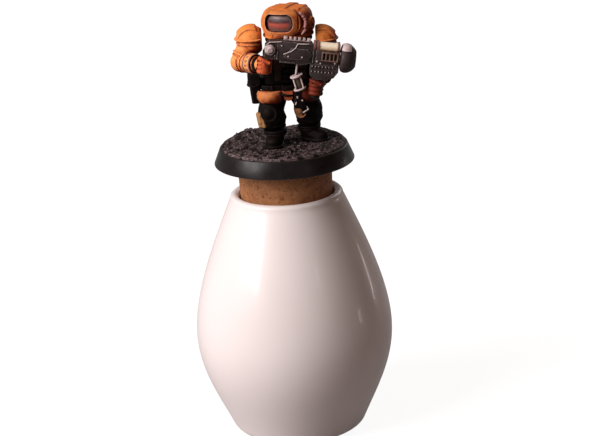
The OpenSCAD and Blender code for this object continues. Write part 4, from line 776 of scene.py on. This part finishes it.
# Its pale edge colour is a painted highlight.
orange_paint = brushed_paint("worn_orange", (0.80, 0.215, 0.040), ORANGE_SHADE_WASH, (0.98, 0.56, 0.28),
                             (0.34, 0.040, 0.006), hollow=1.1, rub=0.22, gain=1.1)
shade_red = brushed_paint("shaded_red", (0.17, 0.022, 0.008), (0.012, 0.001, 0.001), (0.40, 0.12, 0.06), rub=0.14)
seat_folds = [ring((HIPS_X, 0, HIP_Z + 0.9), (0.1, 0, 1), 6.2, 0.35, (1.06, 0.62, 1))]
seat_folds += [ring((hip.x, -0.2, HIP_Z + 0.2), (lean, 0.1, 1), 4.0, 0.4, (0.95, 0.9, 1))
               for hip, lean in ((RIGHT_HIP, 0.2), (LEFT_HIP, -0.2))]
cast("seat_and_hips", "hips", seat_folds, 0.14, 3, suit_black, 0.25, 2.0)
belt_loops = [slab((x, y, BELT_Z), size, 0.15) for x, y, size in
              ((-2.2, -4.6, (0.7, 0.5, 1.7)), (6.6, -4.6, (0.7, 0.5, 1.7)),
               (HIPS_X, 4.6, (0.8, 0.5, 1.7)), (9.75, -1.8, (0.5, 0.7, 1.7)))]
buckle = [slab((HIPS_X, -5.0, BELT_Z), (3.2, 0.5, 1.5), 0.2), slab((HIPS_X, -5.25, BELT_Z), (1.5, 0.4, 0.8), 0.15)]
gun_metal = brushed_paint("painted_gunmetal", (0.034, 0.021, 0.020), (0.003, 0.0015, 0.0015), (0.50, 0.42, 0.40),
                          hollow=0.8, rub=0.16, gain=2.0, shine=0.3)
cast("webbing_belt", "belt", belt_loops + buckle, 0.12, 2, boot_black)
studs = [ball((x, y, WAIST_Z - 0.9), 0.28) for x, y in ((HIPS_X - 2.6, 6.35), (HIPS_X + 2.6, 6.35), (11.75, 0))]
cast("belt_pouches_cast", "belt_pouches", studs, 0.1, 3, brown_paint, 0.12, 1.4)
holster_trim = [ring((-7.2, -0.6, WAIST_Z - 0.1), UP, 2.55, 0.3, (0.75, 1.12, 1)),
                ball((-8.95, -0.6, WAIST_Z + 0.6), 0.42, (0.5, 1, 1)),
                slab((-6.9, -0.4, WAIST_Z + 3.3), (1.3, 2.2, 1.0), 0.3)]
cast("holster_case", "holster", holster_trim, 0.12, 3, boot_black, 0.12, 2.0)
loin_boss = slab((HIPS_X, -4.95, WAIST_Z - 2.2), (2.9, 0.5, 1.1), 0.22)
cast("loin_guard_plate", "loin_guard", [loin_boss], 0.09, 2,
     brushed_paint("loin_red", (0.66, 0.150, 0.060), (0.03, 0.003, 0.001), (0.80, 0.34, 0.18), rub=0.16))


def cut(piece, *planes):
    """Keeps what lies behind each plane, given as a place in mm and a direction, and closes the cut."""
    take(piece)
    edited(*((bpy.ops.mesh.bisect, {"plane_co": Vector(at) * MM, "plane_no": way, "clear_outer": True,
                                    "use_fill": True}) for at, way in planes))


def thigh_guard(name, hip, side, paint):
    extras = [
        ring(hip + Vector((0.5 * side, -0.6, -1.1)), (0.05 * side, 0.18, 1), 5.0, 0.26, (0.74, 1.08, 1)),
        ball(hip + Vector((2.1 * side, -5.0, 1.15)), 0.32),
        ball(hip + Vector((-1.2 * side, -5.5, 1.15)), 0.32),
    ]
    for extra in extras:
        cut(extra, ((0, -3.2, 0), (0, 1, 0)), ((HIPS_X + 2.1 * side, 0, 0), (-side, 0, 0)))
    cast(name, name, extras, 0.1, 3, paint)


dull_orange = brushed_paint("dull_orange_plate", (0.60, 0.20, 0.065), ORANGE_SHADE_WASH, (0.90, 0.62, 0.42),
                            (0.26, 0.040, 0.010), hollow=1.1, rub=0.26, gain=1.3)
thigh_guard("right_thigh_plate", RIGHT_HIP, -1, dull_orange)
# The left plate is painted dark red where the tool shades it: painted shade.
thigh_guard("left_thigh_plate", LEFT_HIP, 1, shade_red)

# Sling: a black webbing strap with a pouch for spare cells, which hangs from the belt over the left
# thigh, with a silver slide and buckles.
SLING_AT = Vector((5.1, -6.5, WAIST_Z - 3.4))
sling_parts = [slab(SLING_AT + Vector(at), size, bevel, Matrix.Rotation(turn, 3, "Y")) for at, size, bevel, turn in
               (((-0.1, 0.5, 1.3), (2.4, 1.1, 3.2), 0.35, 0.0), ((0, 0.2, -1.5), (3.0, 1.5, 3.0), 0.5, 0.14),
                ((1.6, 1.0, -3.5), (1.5, 1.3, 2.6), 0.4, -0.5))]
cast("thigh_sling", None, sling_parts, 0.1, 2, boot_black)

# Torso: a quilted vest over the suit, glued from a front and a back half.
# A harness of dark straps with two clips lies over the chest.
FIGURE_X, STRAP_X = 3.2, 3.6
back_folds = [ring((3.0 + 0.05 * i, -0.1, WAIST_Z + 1.2 + 1.55 * i), UP, 6.15 + 0.28 * i, 0.34, (1.02, 0.68, 1))
              for i in range(5)]
cast("chest_half", "torso_front", [], 0.15, 3, suit_black, 0.2, 2.2)
cast("back_half", "torso_back", back_folds, 0.15, 3, suit_black, 0.2, 2.2)
clips = [slab((FIGURE_X + side * STRAP_X, -4.95, WAIST_Z + 5.2), (2.2, 0.6, 1.2), 0.18) for side in (-1, 1)]
cast("chest_straps", "chest_harness", clips, 0.1, 2,
     brushed_paint("dark_straps", (0.022, 0.009, 0.005), (0.002, 0.001, 0.001), (0.12, 0.06, 0.035), rub=0.14,
                   shine=0.1))

# Air pack: a steel frame with two air tanks, their valves and two ribbed hoses up to the helmet.
# All are cast in resin with their rolled rings, bars and ribs, and glued to the back of the torso.
PACK_LOW, PACK_TOP = (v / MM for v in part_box("tank_frame"))
TANK_LOW, TANK_TOP = (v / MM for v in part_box("air_tanks"))
HOSE_LOW, HOSE_TOP = (v.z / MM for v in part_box("air_hoses"))
TANK_R, TANK_OUT, RIB_PITCH = 2.3, 2.6, 0.42
tank_places = [Vector((FIGURE_X + side * TANK_OUT, TANK_LOW.y + TANK_R, 0)) for side in (-1, 1)]
tank_rings = [ring((at.x, at.y, TANK_LOW.z + z), UP, TANK_R, 0.2) for at in tank_places for z in (2.0, 2.5, 6.6)]
tank_feet = [ring((at.x, at.y, TANK_LOW.z + 0.2), UP, 1.3, 0.3) for at in tank_places]
valve_wheels = [ring((at.x, at.y, TANK_TOP.z - 0.35), UP, 1.05, 0.2) for at in tank_places]
cast("air_tank_pair", "air_tanks", tank_rings + tank_feet + valve_wheels, 0.12, 2, orange_paint)
frame_bars = [rod((FIGURE_X + side * 4.3, PACK_TOP.y - 0.3, PACK_LOW.z + 0.4),
                  (FIGURE_X + side * 4.3, PACK_TOP.y - 0.3, PACK_TOP.z - 0.4), 0.42) for side in (-1, 1)]
frame_bars += [slab((FIGURE_X, PACK_TOP.y + 0.1, PACK_LOW.z + z), (9.2, 0.5, 0.8), 0.15) for z in (1.4, 6.2)]
frame_bars.append(slab((FIGURE_X, PACK_TOP.y + 1.7, PACK_LOW.z + 4.2), (1.0, 3.4, 0.7), 0.2))
cast("pack_frame", "tank_frame", frame_bars, 0.12, 2, gun_metal)
hose_ribs = [ring((at.x, at.y, HOSE_LOW + 0.25 + RIB_PITCH * i), UP, 0.5, 0.14)
             for at in tank_places for i in range(int((HOSE_TOP - HOSE_LOW - 1.6) / RIB_PITCH))]
cast("ribbed_hoses", "air_hoses", hose_ribs, 0.07, 1,
     brushed_paint("hose_rubber", (0.022, 0.018, 0.018), (0.004, 0.003, 0.003), (0.14, 0.11, 0.10), hollow=0.4,
                   rub=0.1))

# Helmet: a big smooth hood of pressed plate with a crest, ear caps and a framed window, on a sealed
# neck ring. The window is painted: grey above with a paler band as a painted reflection, dull red below,
# and black towards the figure's left side as painted shade.
HEAD_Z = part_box("helmet")[0].z / MM
HEAD = Matrix.Translation(Vector((FIGURE_X, 0, HEAD_Z)) * MM) @ Matrix.Rotation(math.radians(-24), 4, "Z")
EAR_X, EAR_Z, CHIN_Y = 7.4, 3.8, -6.9
WINDOW_LOW, WINDOW_TOP, SHADE_FROM_X, SHADE_TO_X = 0.1196, 0.1246, 0.0030, 0.0052
# From the window's foot to its top; the paler grey band near the top is a painted reflection.
WINDOW_BANDS = ((0.0, (0.02, 0.006, 0.006)), (0.16, (0.20, 0.035, 0.022)), (0.36, (0.42, 0.07, 0.045)),
                (0.50, (0.05, 0.018, 0.02)), (0.62, (0.10, 0.06, 0.065)), (0.80, (0.27, 0.18, 0.175)),
                (1.0, (0.10, 0.06, 0.06)))


def moved(pieces, place):
    """Moves pieces that are set in their own frame to the frame's place on the figure."""
    for piece in pieces:
        piece.data.transform(place)
    return pieces


def bead_round(target, middle, half_wide, half_high, thick, place, squareness=0.72):
    """A raised bead in a rounded oblong, laid on the front of a casting; sizes in mm, in the place's frame."""
    piece = primitive(bpy.ops.mesh.primitive_torus_add, major_segments=96, minor_segments=10, major_radius=1,
                      minor_radius=thick * MM)
    shape = bvhtree.BVHTree.FromObject(target, bpy.context.evaluated_depsgraph_get())
    far, inward = 20, (place.to_3x3() @ Vector((0, 1, 0))).normalized()
    for corner in piece.data.vertices:
        turn = math.atan2(corner.co.y, corner.co.x)
        spoke = Vector((math.cos(turn), math.sin(turn), 0))
        off = corner.co - spoke
        x = half_wide * math.copysign(abs(spoke.x) ** squareness, spoke.x)
        z = half_high * math.copysign(abs(spoke.y) ** squareness, spoke.y)
        start = place @ (Vector((middle[0] + x, -far, middle[1] + z)) * MM)
        at = shape.ray_cast(start, inward)[0] or shape.find_nearest(start + inward * far * MM)[0]
        across = (place.to_3x3() @ Vector((spoke.x, 0, spoke.y))).normalized()
        corner.co = at + across * off.dot(spoke) - inward * off.z
    return piece


ears = [piece for side in (-1, 1) for piece in (ring((side * EAR_X, 0, EAR_Z), (1, 0, 0), 1.45, 0.22),
                                                ball((side * EAR_X, 0, EAR_Z), 0.75, (0.55, 1, 1)))]
jaw = [slab((x, CHIN_Y, 1.25), (0.5, 0.6, 1.1), 0.2) for x in (-1.9, -0.95, 0.0, 0.95, 1.9)]
jaw.append(ring((0, 0, 0.5), UP, 6.75, 0.4))
crest = [slab((0, 0.4, 6.95), (9.4, 7.6, 2.6), 1.1), slab((4.2, 0.2, 7.3), (1.6, 7.0, 2.0), 0.8),
         slab((-4.3, 0.2, 7.1), (1.3, 6.6, 2.0), 0.6)]
hood = copy_of("helmet")
window_rims = [bead_round(hood, (0, 4.45), 5.5, 3.5, 0.42, HEAD),
               bead_round(hood, (0, 4.4), 6.3, 3.75, 0.26, HEAD, 0.8)]
bpy.data.objects.remove(hood)
helmet = cast("hooded_helmet", "helmet", window_rims + moved(crest + ears + jaw, HEAD), 0.14, 2,
              orange_paint)
# Its pale edge colour is a painted highlight.
cast("window_frame", "visor_frame", [], 0.08, 2,
     brushed_paint("worn_orange_frame", (0.60, 0.19, 0.05), (0.04, 0.004, 0.002), (0.98, 0.62, 0.46),
                   (0.26, 0.045, 0.010), rub=0.2, gain=1.4))
window_paint, tree, shader, coat = painted("painted_window", (0.26, 0.17, 0.16), (0.010, 0.004, 0.005),
                                           (0.5, 0.38, 0.36), hollow=1.2, rub=0.1, gain=0.4)
heights = add_node(tree, "SeparateXYZ")
join(tree, surface_place(tree), heights.inputs[0])
bands = add_node(tree, "ValToRGB")
ramp = bands.color_ramp.elements
ramp.remove(ramp[0])
for i, (position, colour) in enumerate(WINDOW_BANDS):
    stop = ramp.new(position) if i else ramp[0]
    stop.position, stop.color = position, (*colour, 1)
join(tree, spread(tree, heights.outputs["Z"], WINDOW_LOW, WINDOW_TOP), bands.inputs["Fac"])
# Painted shade: the window turns black towards the figure's left side.
side_shade_share = spread(tree, heights.outputs["X"], SHADE_FROM_X, SHADE_TO_X)
join(tree, colour_mix(tree, side_shade_share, bands.outputs["Color"], (0.018, 0.008, 0.009)), coat.inputs["Paint"])
shader.inputs["Coat Weight"].default_value = 0.25
shader.inputs["Coat Roughness"].default_value = 0.2
cast("painted_window_pane", "visor", [], 0.09, 3, window_paint)
cast("neck_ring", "collar_ring", [ring((FIGURE_X, 0, NECK_Z + 0.45), UP, 5.9, 0.75)], 0.12, 2,
     gun_metal)

# Cheek hose: a short ribbed air hose from the window's frame down the right cheek to the chin.
# Its beads lie on the hood, and its pale dusty mauve also stands for the highlight along the hood's edge: a painted
# highlight.
HOSE_RUN = [Vector(at) for at in ((5.7, -4.1, 7.2), (7.0, -3.6, 5.8), (7.6, -3.1, 4.1), (7.4, -3.5, 2.5),
                                  (6.5, -4.6, 1.1))]
HOSE_STEPS, HOSE_LIFT = 7, 0.25
hood_shape = bvhtree.BVHTree.FromObject(helmet, bpy.context.evaluated_depsgraph_get())
cheek_beads = []
for start, end in zip(HOSE_RUN, HOSE_RUN[1:]):
    for i in range(HOSE_STEPS):
        at, out = hood_shape.find_nearest(HEAD @ (start.lerp(end, i / HOSE_STEPS) * MM))[:2]
        cheek_beads.append(ball(at / MM + HOSE_LIFT * out, 0.55 if i % 2 else 0.45))
cast("cheek_hose", None, cheek_beads, 0.07, 1,
     brushed_paint("dusty_mauve_hose", (0.58, 0.27, 0.25), (0.03, 0.006, 0.004), (0.95, 0.72, 0.70),
                   (0.26, 0.08, 0.065), rub=0.14, gain=1.4))

# Arms: padded suit sleeves from the shoulder caps to the wrists, with a hard cuff before each glove.
# Folds gather at the elbow.
RIGHT_SHOULDER, LEFT_SHOULDER = Vector((-7.3, 0, NECK_Z)), Vector((12.3, 0, NECK_Z - 1.2))
RIGHT_ELBOW, LEFT_ELBOW = Vector((-10.69, -1.02, NECK_Z - 5.38)), Vector((14.73, 0.19, NECK_Z - 6.0))
REAR_FIST, FORE_FIST = Vector((-3.84, -9.15, NECK_Z - 4.88)), Vector((9.96, -9.15, NECK_Z - 11.76))
# The sleeves are painted a paler orange than the suit: painted light.
lit_sleeve_orange = brushed_paint("worn_orange_sleeve", (0.93, 0.35, 0.105), (0.05, 0.004, 0.001), (0.98, 0.66, 0.42),
                              (0.41, 0.060, 0.012), hollow=1.0, rub=0.14)


def sleeve(name, shoulder, elbow, fist):
    upper, fore = elbow - shoulder, fist - elbow
    extras = [
        ring(shoulder + 0.66 * upper, upper + Vector((0.8, 0.6, 0)), 3.05, 0.34),
        ring(shoulder + 0.88 * upper, upper + Vector((-0.5, 0.9, 0)), 2.8, 0.32),
        ring(elbow + 0.10 * fore, fore + Vector((0.5, 0.4, 0.9)), 2.72, 0.26),
        ring(elbow + 0.24 * fore, fore + Vector((-0.6, 0.2, -0.9)), 2.62, 0.26),
        ball(elbow - 0.12 * fore - 0.25 * upper, 1.7, (1, 1, 0.8), elbow - 0.5 * (shoulder + fist)),
    ]
    cast(name, name, extras, 0.12, 3, lit_sleeve_orange, 0.16, 1.8)


sleeve("right_arm", RIGHT_SHOULDER, RIGHT_ELBOW, REAR_FIST)
sleeve("left_arm", LEFT_SHOULDER, LEFT_ELBOW, FORE_FIST)

# Gloves: thick gloves with hard orange plates on their backs and dark leather at the wrists, four
# fingers and a thumb round each grip of the tool. The left one is in the shade and painted darker.
FOREARMS = ((RIGHT_ELBOW, REAR_FIST), (LEFT_ELBOW, FORE_FIST))
KNUCKLE_PITCH = 0.58
glove_paint = brushed_paint("glove_plate", (0.60, 0.115, 0.036), (0.04, 0.003, 0.001), (0.95, 0.46, 0.30),
                            (0.24, 0.028, 0.008), rub=0.16)
for name, (elbow, fist), paint in zip(("right_glove", "left_glove"), FOREARMS, (glove_paint, shade_red)):
    fore = (fist - elbow).normalized()
    knuckles = [ball(fist - 1.9 * fore + Vector((0, 0, (2 * i - 3) * KNUCKLE_PITCH)), 0.66, (1, 1, 0.85))
                for i in range(4)]
    tip = fist + Vector((1.3, -1.9, 0.9))
    thumb = [rod(fist + Vector((-0.4, -1.6, 1.7)), tip, 0.62, 0.5), ball(tip, 0.55)]
    cast(name, name, knuckles + thumb, 0.08, 2, paint)
wrists = [ring(elbow + share * (fist - elbow), fist - elbow, 1.75, 0.5)
          for elbow, fist in FOREARMS for share in (0.72, 0.78)]
cast("glove_wrists", None, wrists, 0.09, 2, boot_black)

# Cuffs: hard rings over the ends of the sleeves, with two rolled edges and a row of small panels,
# painted a dusty pink over the orange.
CUFF_PANELS, PANEL_R = 14, 2.68
cuffs = []
for elbow, fist in FOREARMS:
    fore = fist - elbow
    cuffs.append(rod(elbow + 0.42 * fore, elbow + 0.62 * fore, 2.72, 2.62, 48))
    cuffs += [ring(elbow + share * fore, fore, radius, 0.24) for share, radius in ((0.41, 2.74), (0.63, 2.62))]
    around = fore.to_track_quat("Z", "Y").to_matrix()
    for i in range(CUFF_PANELS):
        spoke = around @ Matrix.Rotation(math.tau * i / CUFF_PANELS, 3, "Z")
        cuffs.append(slab(elbow + 0.52 * fore + spoke @ Vector((PANEL_R, 0, 0)), (0.36, 0.62, 1.0), 0.1, spoke))
cast("sleeve_cuffs", None, cuffs, 0.08, 1,
     brushed_paint("dusty_cuff", (0.31, 0.155, 0.13), (0.03, 0.006, 0.004), (0.74, 0.52, 0.46), (0.14, 0.045, 0.03),
                   hollow=0.5, rub=0.14, gain=1.3))

# Shoulder caps: hard domes over a smaller lame, pushed onto the shoulders of the suit.
# They are cast with a raised crown plate and rolled lower edges, and are painted a paler orange where they take the
# most light: painted light.
lit_cap_orange = brushed_paint("lit_orange_cap", (0.92, 0.29, 0.065), ORANGE_SHADE_WASH, (0.98, 0.66, 0.42),
                           (0.36, 0.046, 0.008), hollow=1.1, rub=0.26, gain=1.3)
for name, at, side in (("right_shoulder_cap", RIGHT_SHOULDER, -1), ("left_shoulder_cap", LEFT_SHOULDER, 1)):
    edges = [ring(at + Vector((0, 0, 1.0)), UP, 4.5, 0.3), ring(at + Vector((0, 0, -0.2)), UP, 4.15, 0.2)]
    for edge in edges:
        cut(edge, ((FIGURE_X + side * 7.8, 0, 0), (-side, 0, 0)))
    cast(name, name, edges, 0.1, 1, lit_cap_orange)

# Cutting tool: pressed and machined housings painted gunmetal with silver edges as painted highlights, rubber
# grips, a pale gas tube in brown clamps on top, and a caged lamp hung below. Its long axis dips 9 degrees.
TOOL_AT = Vector((-3.6, -9.15, NECK_Z - 0.2))
TOOL_SIDE = 2.2
TOOL = Matrix.Translation(TOOL_AT * MM) @ Matrix.Rotation(math.radians(9), 4, "Y")
TUBE_Y, TUBE_Z = -0.85, 2.25
KNOB_X, KNOB_Z = 1.5, 0.27
FLAT, MACHINED_SHARP = math.radians(3), math.radians(38)


def machined(name, bevel, material, extras=()):
    """A node's copy with true flat faces: joins its co-planar faces, then rounds its edges."""
    piece = copy_of(name)
    edited((bpy.ops.mesh.dissolve_limited, {"angle_limit": FLAT}))
    modified(piece, "BEVEL", width=bevel * MM, segments=2, limit_method="ANGLE", angle_limit=SHARP,
             use_clamp_overlap=True)
    piece = merge(name, [piece] + moved(list(extras), TOOL))
    edited((bpy.ops.mesh.normals_make_consistent, {"inside": False}))
    bpy.ops.object.shade_smooth_by_angle(angle=MACHINED_SHARP)
    mount(piece, "miniature", [name], material)


def tube_rods(*runs):
    """Rods on the gas tube's line, each from one place to another with its radius."""
    return [rod((start, TUBE_Y, TUBE_Z), (end, TUBE_Y, TUBE_Z), radius, None, 64) for start, end, radius in runs]


# Its pale edge colour is a painted highlight.
silver_paint = brushed_paint("worn_silver", (0.66, 0.52, 0.50), (0.02, 0.008, 0.007), (0.98, 0.92, 0.90),
                             (0.20, 0.12, 0.11), hollow=0.8, rub=0.12, shine=0.5)
ivory_paint = brushed_paint("ivory_tube", (0.98, 0.84, 0.64), (0.20, 0.07, 0.03), (0.99, 0.95, 0.86),
                            (0.60, 0.36, 0.20), hollow=0.5, rub=0.12, gain=0.8, brush=0.1)
rib_metal = brushed_paint("rib_metal", (0.040, 0.027, 0.026), (0.002, 0.001, 0.001), (0.42, 0.34, 0.33), hollow=0.8,
                          rub=0.12, gain=0.7, shine=0.3)
mauve_paint = brushed_paint("clamp_paint", (0.26, 0.12, 0.10), (0.03, 0.008, 0.007), (0.66, 0.45, 0.41), rub=0.14)
guard_paint = brushed_paint("guard_paint", (0.16, 0.085, 0.060), (0.010, 0.004, 0.003), (0.55, 0.42, 0.36), rub=0.14,
                            gain=1.6)
rubber_paint = brushed_paint("grip_rubber", (0.008, 0.005, 0.005), (0.001, 0.0005, 0.0005), (0.08, 0.05, 0.045),
                             hollow=0.6, rub=0.1)
lamp_paint = brushed_paint("lamp_glass", (0.075, 0.055, 0.022), (0.01, 0.006, 0.003), (0.4, 0.33, 0.2), rub=0.1,
                           shine=0.5)
housing_lines = [slab((x, -2.3, z), size, bevel) for x, z, size, bevel in
                 ((3.6, -1.2, (0.2, 0.3, 2.4), 0.09), (13.4, -0.6, (0.2, 0.3, 3.2), 0.09),
                  (6.4, -2.75, (4.2, 0.36, 0.3), 0.1))]
machined("tool_housing", 0.16, gun_metal, housing_lines)
machined("top_rail", 0.08, silver_paint)
cast("tool_nose", "tool_nose", [], 0.1, 1, gun_metal)
machined("gas_tube", 0.1, ivory_paint, tube_rods((13.7, 20.6, 1.2), (14.7, 19.9, 1.34)))
machined("tube_clamps", 0.08, mauve_paint,
         tube_rods((13.25, 13.75, 1.66), (13.75, 14.25, 1.45), (14.25, 14.7, 1.62), (19.9, 20.4, 1.45)))
machined("vent_guards", 0.1, guard_paint)
machined("rib_block", 0.14, rib_metal)
knob_parts = [ball((KNOB_X, -TOOL_SIDE - 0.6, KNOB_Z), 1.1, (1, 0.5, 1)),
              ring((KNOB_X, -TOOL_SIDE - 0.35, KNOB_Z), (0, 1, 0), 1.35, 0.16)]
cast("valve_knob", "valve_knob", moved(knob_parts, TOOL), 0.08, 1, silver_paint)
machined("rear_grip", 0.08, rubber_paint)
machined("fore_grip", 0.08, rubber_paint)
machined("hand_lamp", 0.1, lamp_paint)
cast("lamp_cage", "lamp_cage", [], 0.08, 1, silver_paint)

# Silver trim of the tool, picked out with a fine brush: silver lines on the edges of its plates, a cap on top
# of the nose, rivets and the bright points of the ribs, all painted highlights in silver.
TRIM_DEPTH, PLATE_DEPTH, POINT_DEPTH = TOOL_SIDE + 0.06, TOOL_SIDE + 0.5, TOOL_SIDE + 0.02
TRIM_RUNS = ((PLATE_DEPTH, ((5.3, -0.5), (7.3, 0.45), (8.5, 1.6))),
             (TRIM_DEPTH, ((8.5, 1.7), (8.9, 2.6), (11.9, 2.85))),
             (TRIM_DEPTH, ((0.05, 0.9), (1.2, 2.35), (4.4, 2.8))),
             (TRIM_DEPTH, ((20.75, 1.2), (20.7, -0.8), (19.5, -2.0))))
RIVETS = ((4.6, 0.05, 1.7), (2.9, 0.05, -1.2), (6.6, 0.5, -1.0), (10.4, 0.5, -0.9),
          (14.6, 0.05, -1.7), (15.6, 0.05, -2.2), (19.3, 0.05, 0.9), (19.4, 0.05, -1.6))
RIB_X, RIB_STEP = 13.4, 0.93
CAP_Z, CAP_SWELL = 0.55, 1.035
trim = []
for depth, run in TRIM_RUNS:
    for (x0, z0), (x1, z1) in zip(run, run[1:]):
        trim.append(rod((x0, -depth, z0), (x1, -depth, z1), 0.15))
    trim += [ball((x, -depth, z), 0.16) for x, z in run]
trim += [ball((x, -TOOL_SIDE - y, z), 0.27, (1, 0.7, 1)) for x, y, z in RIVETS]
trim += [ball((RIB_X + RIB_STEP * i, -POINT_DEPTH, z), 0.17, (0.7, 0.6, 1.3)) for i in range(7) for z in (-3.1, -4.6)]
# The nose cap is a painted highlight in silver on the top of the nose.
nose_cap = copy_of("tool_nose")
swell = Matrix.Translation((0, 0, -CAP_Z * MM)) @ Matrix.Diagonal((1, CAP_SWELL, CAP_SWELL, 1))
nose_cap.data.transform(TOOL.inverted())
nose_cap.data.transform(swell @ Matrix.Translation((0, 0, CAP_Z * MM)))
cut(nose_cap, ((0, 0, 2.0), (0, 0, -1)), ((21.2, 0, 0), (-1, 0, 0)), ((23.8, 0, 0), (1, 0, 0)))
clip_turn, clip_end = SLING_AT + Vector((0.9, -0.2, -4.2)), SLING_AT + Vector((2.4, 0.1, -3.4))
buckles = [slab(SLING_AT + Vector((-0.4, -0.45, 0.35)), (0.5, 0.35, 0.7), 0.1),
           ball(SLING_AT + Vector((0.9, -0.6, -0.6)), 0.3),
           slab(SLING_AT + Vector((-0.9, -0.6, -1.3)), (0.4, 0.3, 0.9), 0.1, Matrix.Rotation(0.4, 3, "Y")),
           rod(clip_turn, clip_end, 0.2), rod(clip_end, SLING_AT + Vector((2.1, 0.1, -2.4)), 0.16),
           ball(clip_end, 0.3)]
cast("silver_trim", None, moved(trim + [nose_cap], TOOL) + buckles, 0.07, 1, silver_paint)

scene.frame_set(1)
